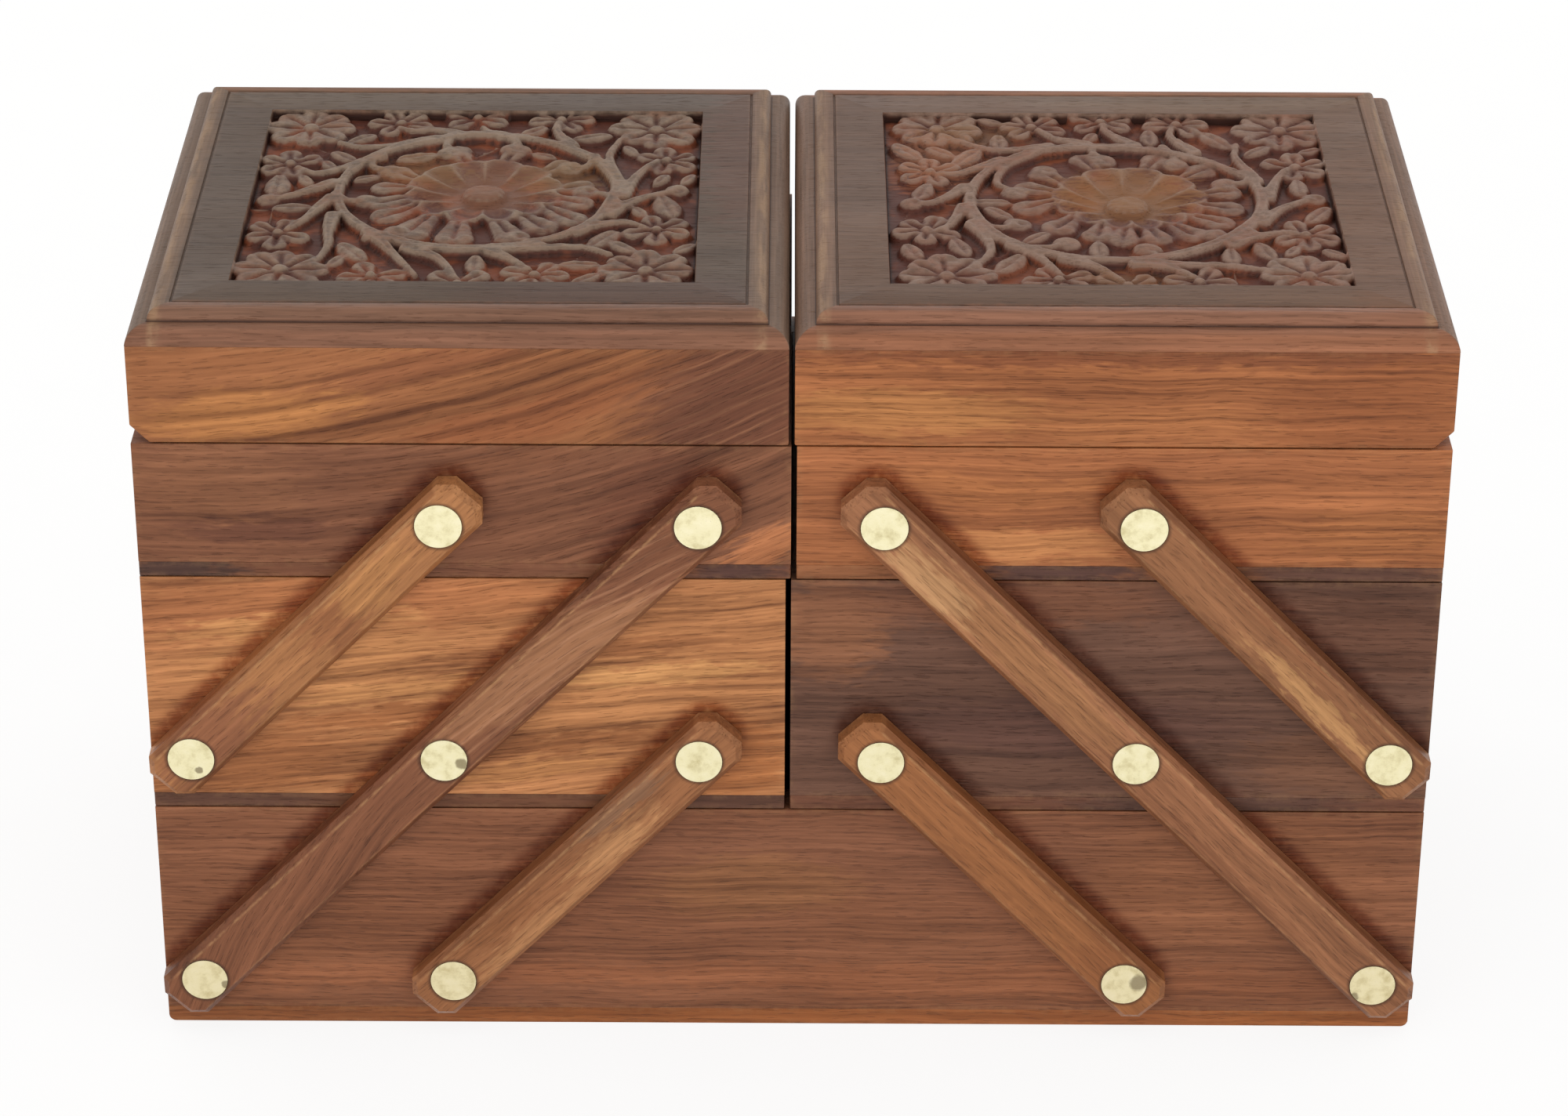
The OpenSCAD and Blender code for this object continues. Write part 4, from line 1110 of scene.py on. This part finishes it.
for side, way in SIDES.items():
    along = Vector((-way * math.cos(ARM_LEAN), 0, math.sin(ARM_LEAN)))
    across = Vector((way * math.sin(ARM_LEAN), 0, math.cos(ARM_LEAN)))
    for arm, pins in (("long_arm", "ABC"), ("lower_arm", "EF"), ("upper_arm", "GH")):
        discs = [pin_place(pin, way) for pin in pins]
        reach = math.dist(discs[0], discs[-1]) / 2 + ARM_OVERHANG
        more = dict(discs=discs, size=(reach, ARM_WIDTH / 2, ARM_THICKNESS / 2), wear=0.8)
        for face in ("front", "back"):
            board(f"{side}_{arm}_{face}", f"{side}_{arm}", along, across, 0.16, 60.0, **more)

# Brass parts, with a few stained discs
STAINS = {
    "base_pivot_pins": ((71.0, 13.6, 2.3), (-114.3, 12.2, 1.1), (114.9, 10.4, 1.2)),
    "left_middle_tray_pivot_pins": ((-65.0, 64.3, 1.5), (-117.0, 62.6, 1.0)),
}
TIERS = {"base": (0.80, 0.71, 0.44), "middle": (0.86, 0.79, 0.50), "top": (0.90, 0.83, 0.53)}
hinge_brass = brass("hinge_brass", tone=(0.72, 0.58, 0.28), rough=0.34)
for name, obj in nodes.items():
    if name.endswith("pivot_pins"):
        tone = next(tone for tier, tone in TIERS.items() if tier in name)
        finish_solid(obj, brass(name + "_brass", tone, STAINS.get(name, ())), 0.15)
    elif "_hinge_" in name:
        finish_solid(obj, hinge_brass, 0.12, 50)

# Linings
felt_sheet("base_lining", "base", 3)
for side in SIDES:
    for tier in ("middle", "top"):
        tray_name = f"{side}_{tier}_tray"
        felt_sheet(tray_name + "_lining", tray_name, 5)

# Carved lids
for side, pattern, seed in (("left", LEFT_PATTERN, 11), ("right", RIGHT_PATTERN, 12)):
    piece = carved_board(side, carve(pattern, seed))
    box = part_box(side + "_lid_carved_board")
    look = dict(LOOKS[side + "_lid_board"], seed=40.0 + seed)
    piece.data.materials.append(rosewood(side + "_board_wood", box, X, Y, **look))


def show(tree, lit, seen, share, target):
    """Joins two shaders: one that lights things, and one that the camera and mirrors see."""
    path = tree.add("LightPath")
    rays = ("Is Camera Ray", "Is Glossy Ray", "Is Transmission Ray")
    camera, glossy, transmission = (tree.output(path, ray) for ray in rays)
    direct = tree.math("MAXIMUM", camera, tree.math("MAXIMUM", glossy, transmission))
    both = tree.add("MixShader", {0: direct * share, 1: tree.output(lit), 2: tree.output(seen)})
    tree.add(target, {0: tree.output(both)})


# Floor: pale paint that the camera and the brass see as white, and that keeps the box's shadow
paint = Tree("floor_paint")
grit = paint.noise(paint.output(paint.add("TexCoord"), "Object"), scale=40.0, detail=3.0)
pale = paint.ramp(grit, (0.0, 1.0), ((0.84, 0.84, 0.84, 1), (0.9, 0.9, 0.9, 1)))
matt = {"Base Color": pale, "Roughness": 0.9, "Specular IOR Level": 0.1}
paper = {"Color": (1, 1, 1, 1), "Strength": 1.06}
show(paint, paint.add("BsdfPrincipled", matt), paint.add("Emission", paper), 0.8, "OutputMaterial")
floor_mesh = bpy.data.meshes.new("floor")
corners = [(x, y, -0.00005) for x, y in ((-8, -8), (8, -8), (8, 8), (-8, 8))]
floor_mesh.from_pydata(corners, [], [(0, 1, 2, 3)])
floor_mesh.materials.append(paint.material)
floor = bpy.data.objects.new("floor", floor_mesh)
bpy.context.scene.collection.objects.link(floor)

# Light
world = bpy.data.worlds.new("studio")
bpy.context.scene.world = world
sky = Tree("studio", world)
light = sky.add("Background", {"Color": (1, 0.985, 0.96, 1), "Strength": 0.86})
white = sky.add("Background", {"Color": (1, 1, 1, 1), "Strength": 1.0})
show(sky, light, white, 1.0, "OutputWorld")


def lamp(name, place, target, size, energy, colour=(1, 1, 1)):
    data = bpy.data.lights.new(name, "AREA")
    data.shape = "DISK"
    data.size = size
    data.energy = energy
    data.color = colour
    obj = bpy.data.objects.new(name, data)
    obj.location = place
    obj.rotation_euler = (Vector(target) - Vector(place)).to_track_quat("-Z", "Y").to_euler()
    bpy.context.scene.collection.objects.link(obj)


lamp("key", (-0.85, -1.5, 0.50), (0, 0, 0.08), 1.0, 4.2, (1, 0.98, 0.95))
lamp("fill", (0.95, -1.4, 0.42), (0, 0, 0.08), 1.1, 2.8)

# Camera, as fitted to the photograph
pitch, yaw, roll = (math.radians(a) for a in (27.8666, -0.00898, 0.2825))
ahead = (math.sin(yaw) * math.cos(pitch), math.cos(yaw) * math.cos(pitch), -math.sin(pitch))
forward = Vector(ahead)
level = Vector((math.cos(yaw), -math.sin(yaw), 0))
up = level.cross(forward)
right = math.cos(roll) * level + math.sin(roll) * up
upward = -math.sin(roll) * level + math.cos(roll) * up
camera_data = bpy.data.cameras.new("camera")
camera_data.lens = 107.295
camera_data.sensor_width = 36
camera_data.clip_start = 0.01
camera = bpy.data.objects.new("camera", camera_data)
turn = Matrix((right, upward, -forward)).transposed()
camera.matrix_world = Matrix.Translation((-0.001245, -0.864498, 0.532892)) @ turn.to_4x4()
bpy.context.scene.collection.objects.link(camera)
bpy.context.scene.camera = camera
bpy.context.scene.view_settings.view_transform = "Standard"

bpy.context.view_layer.update()
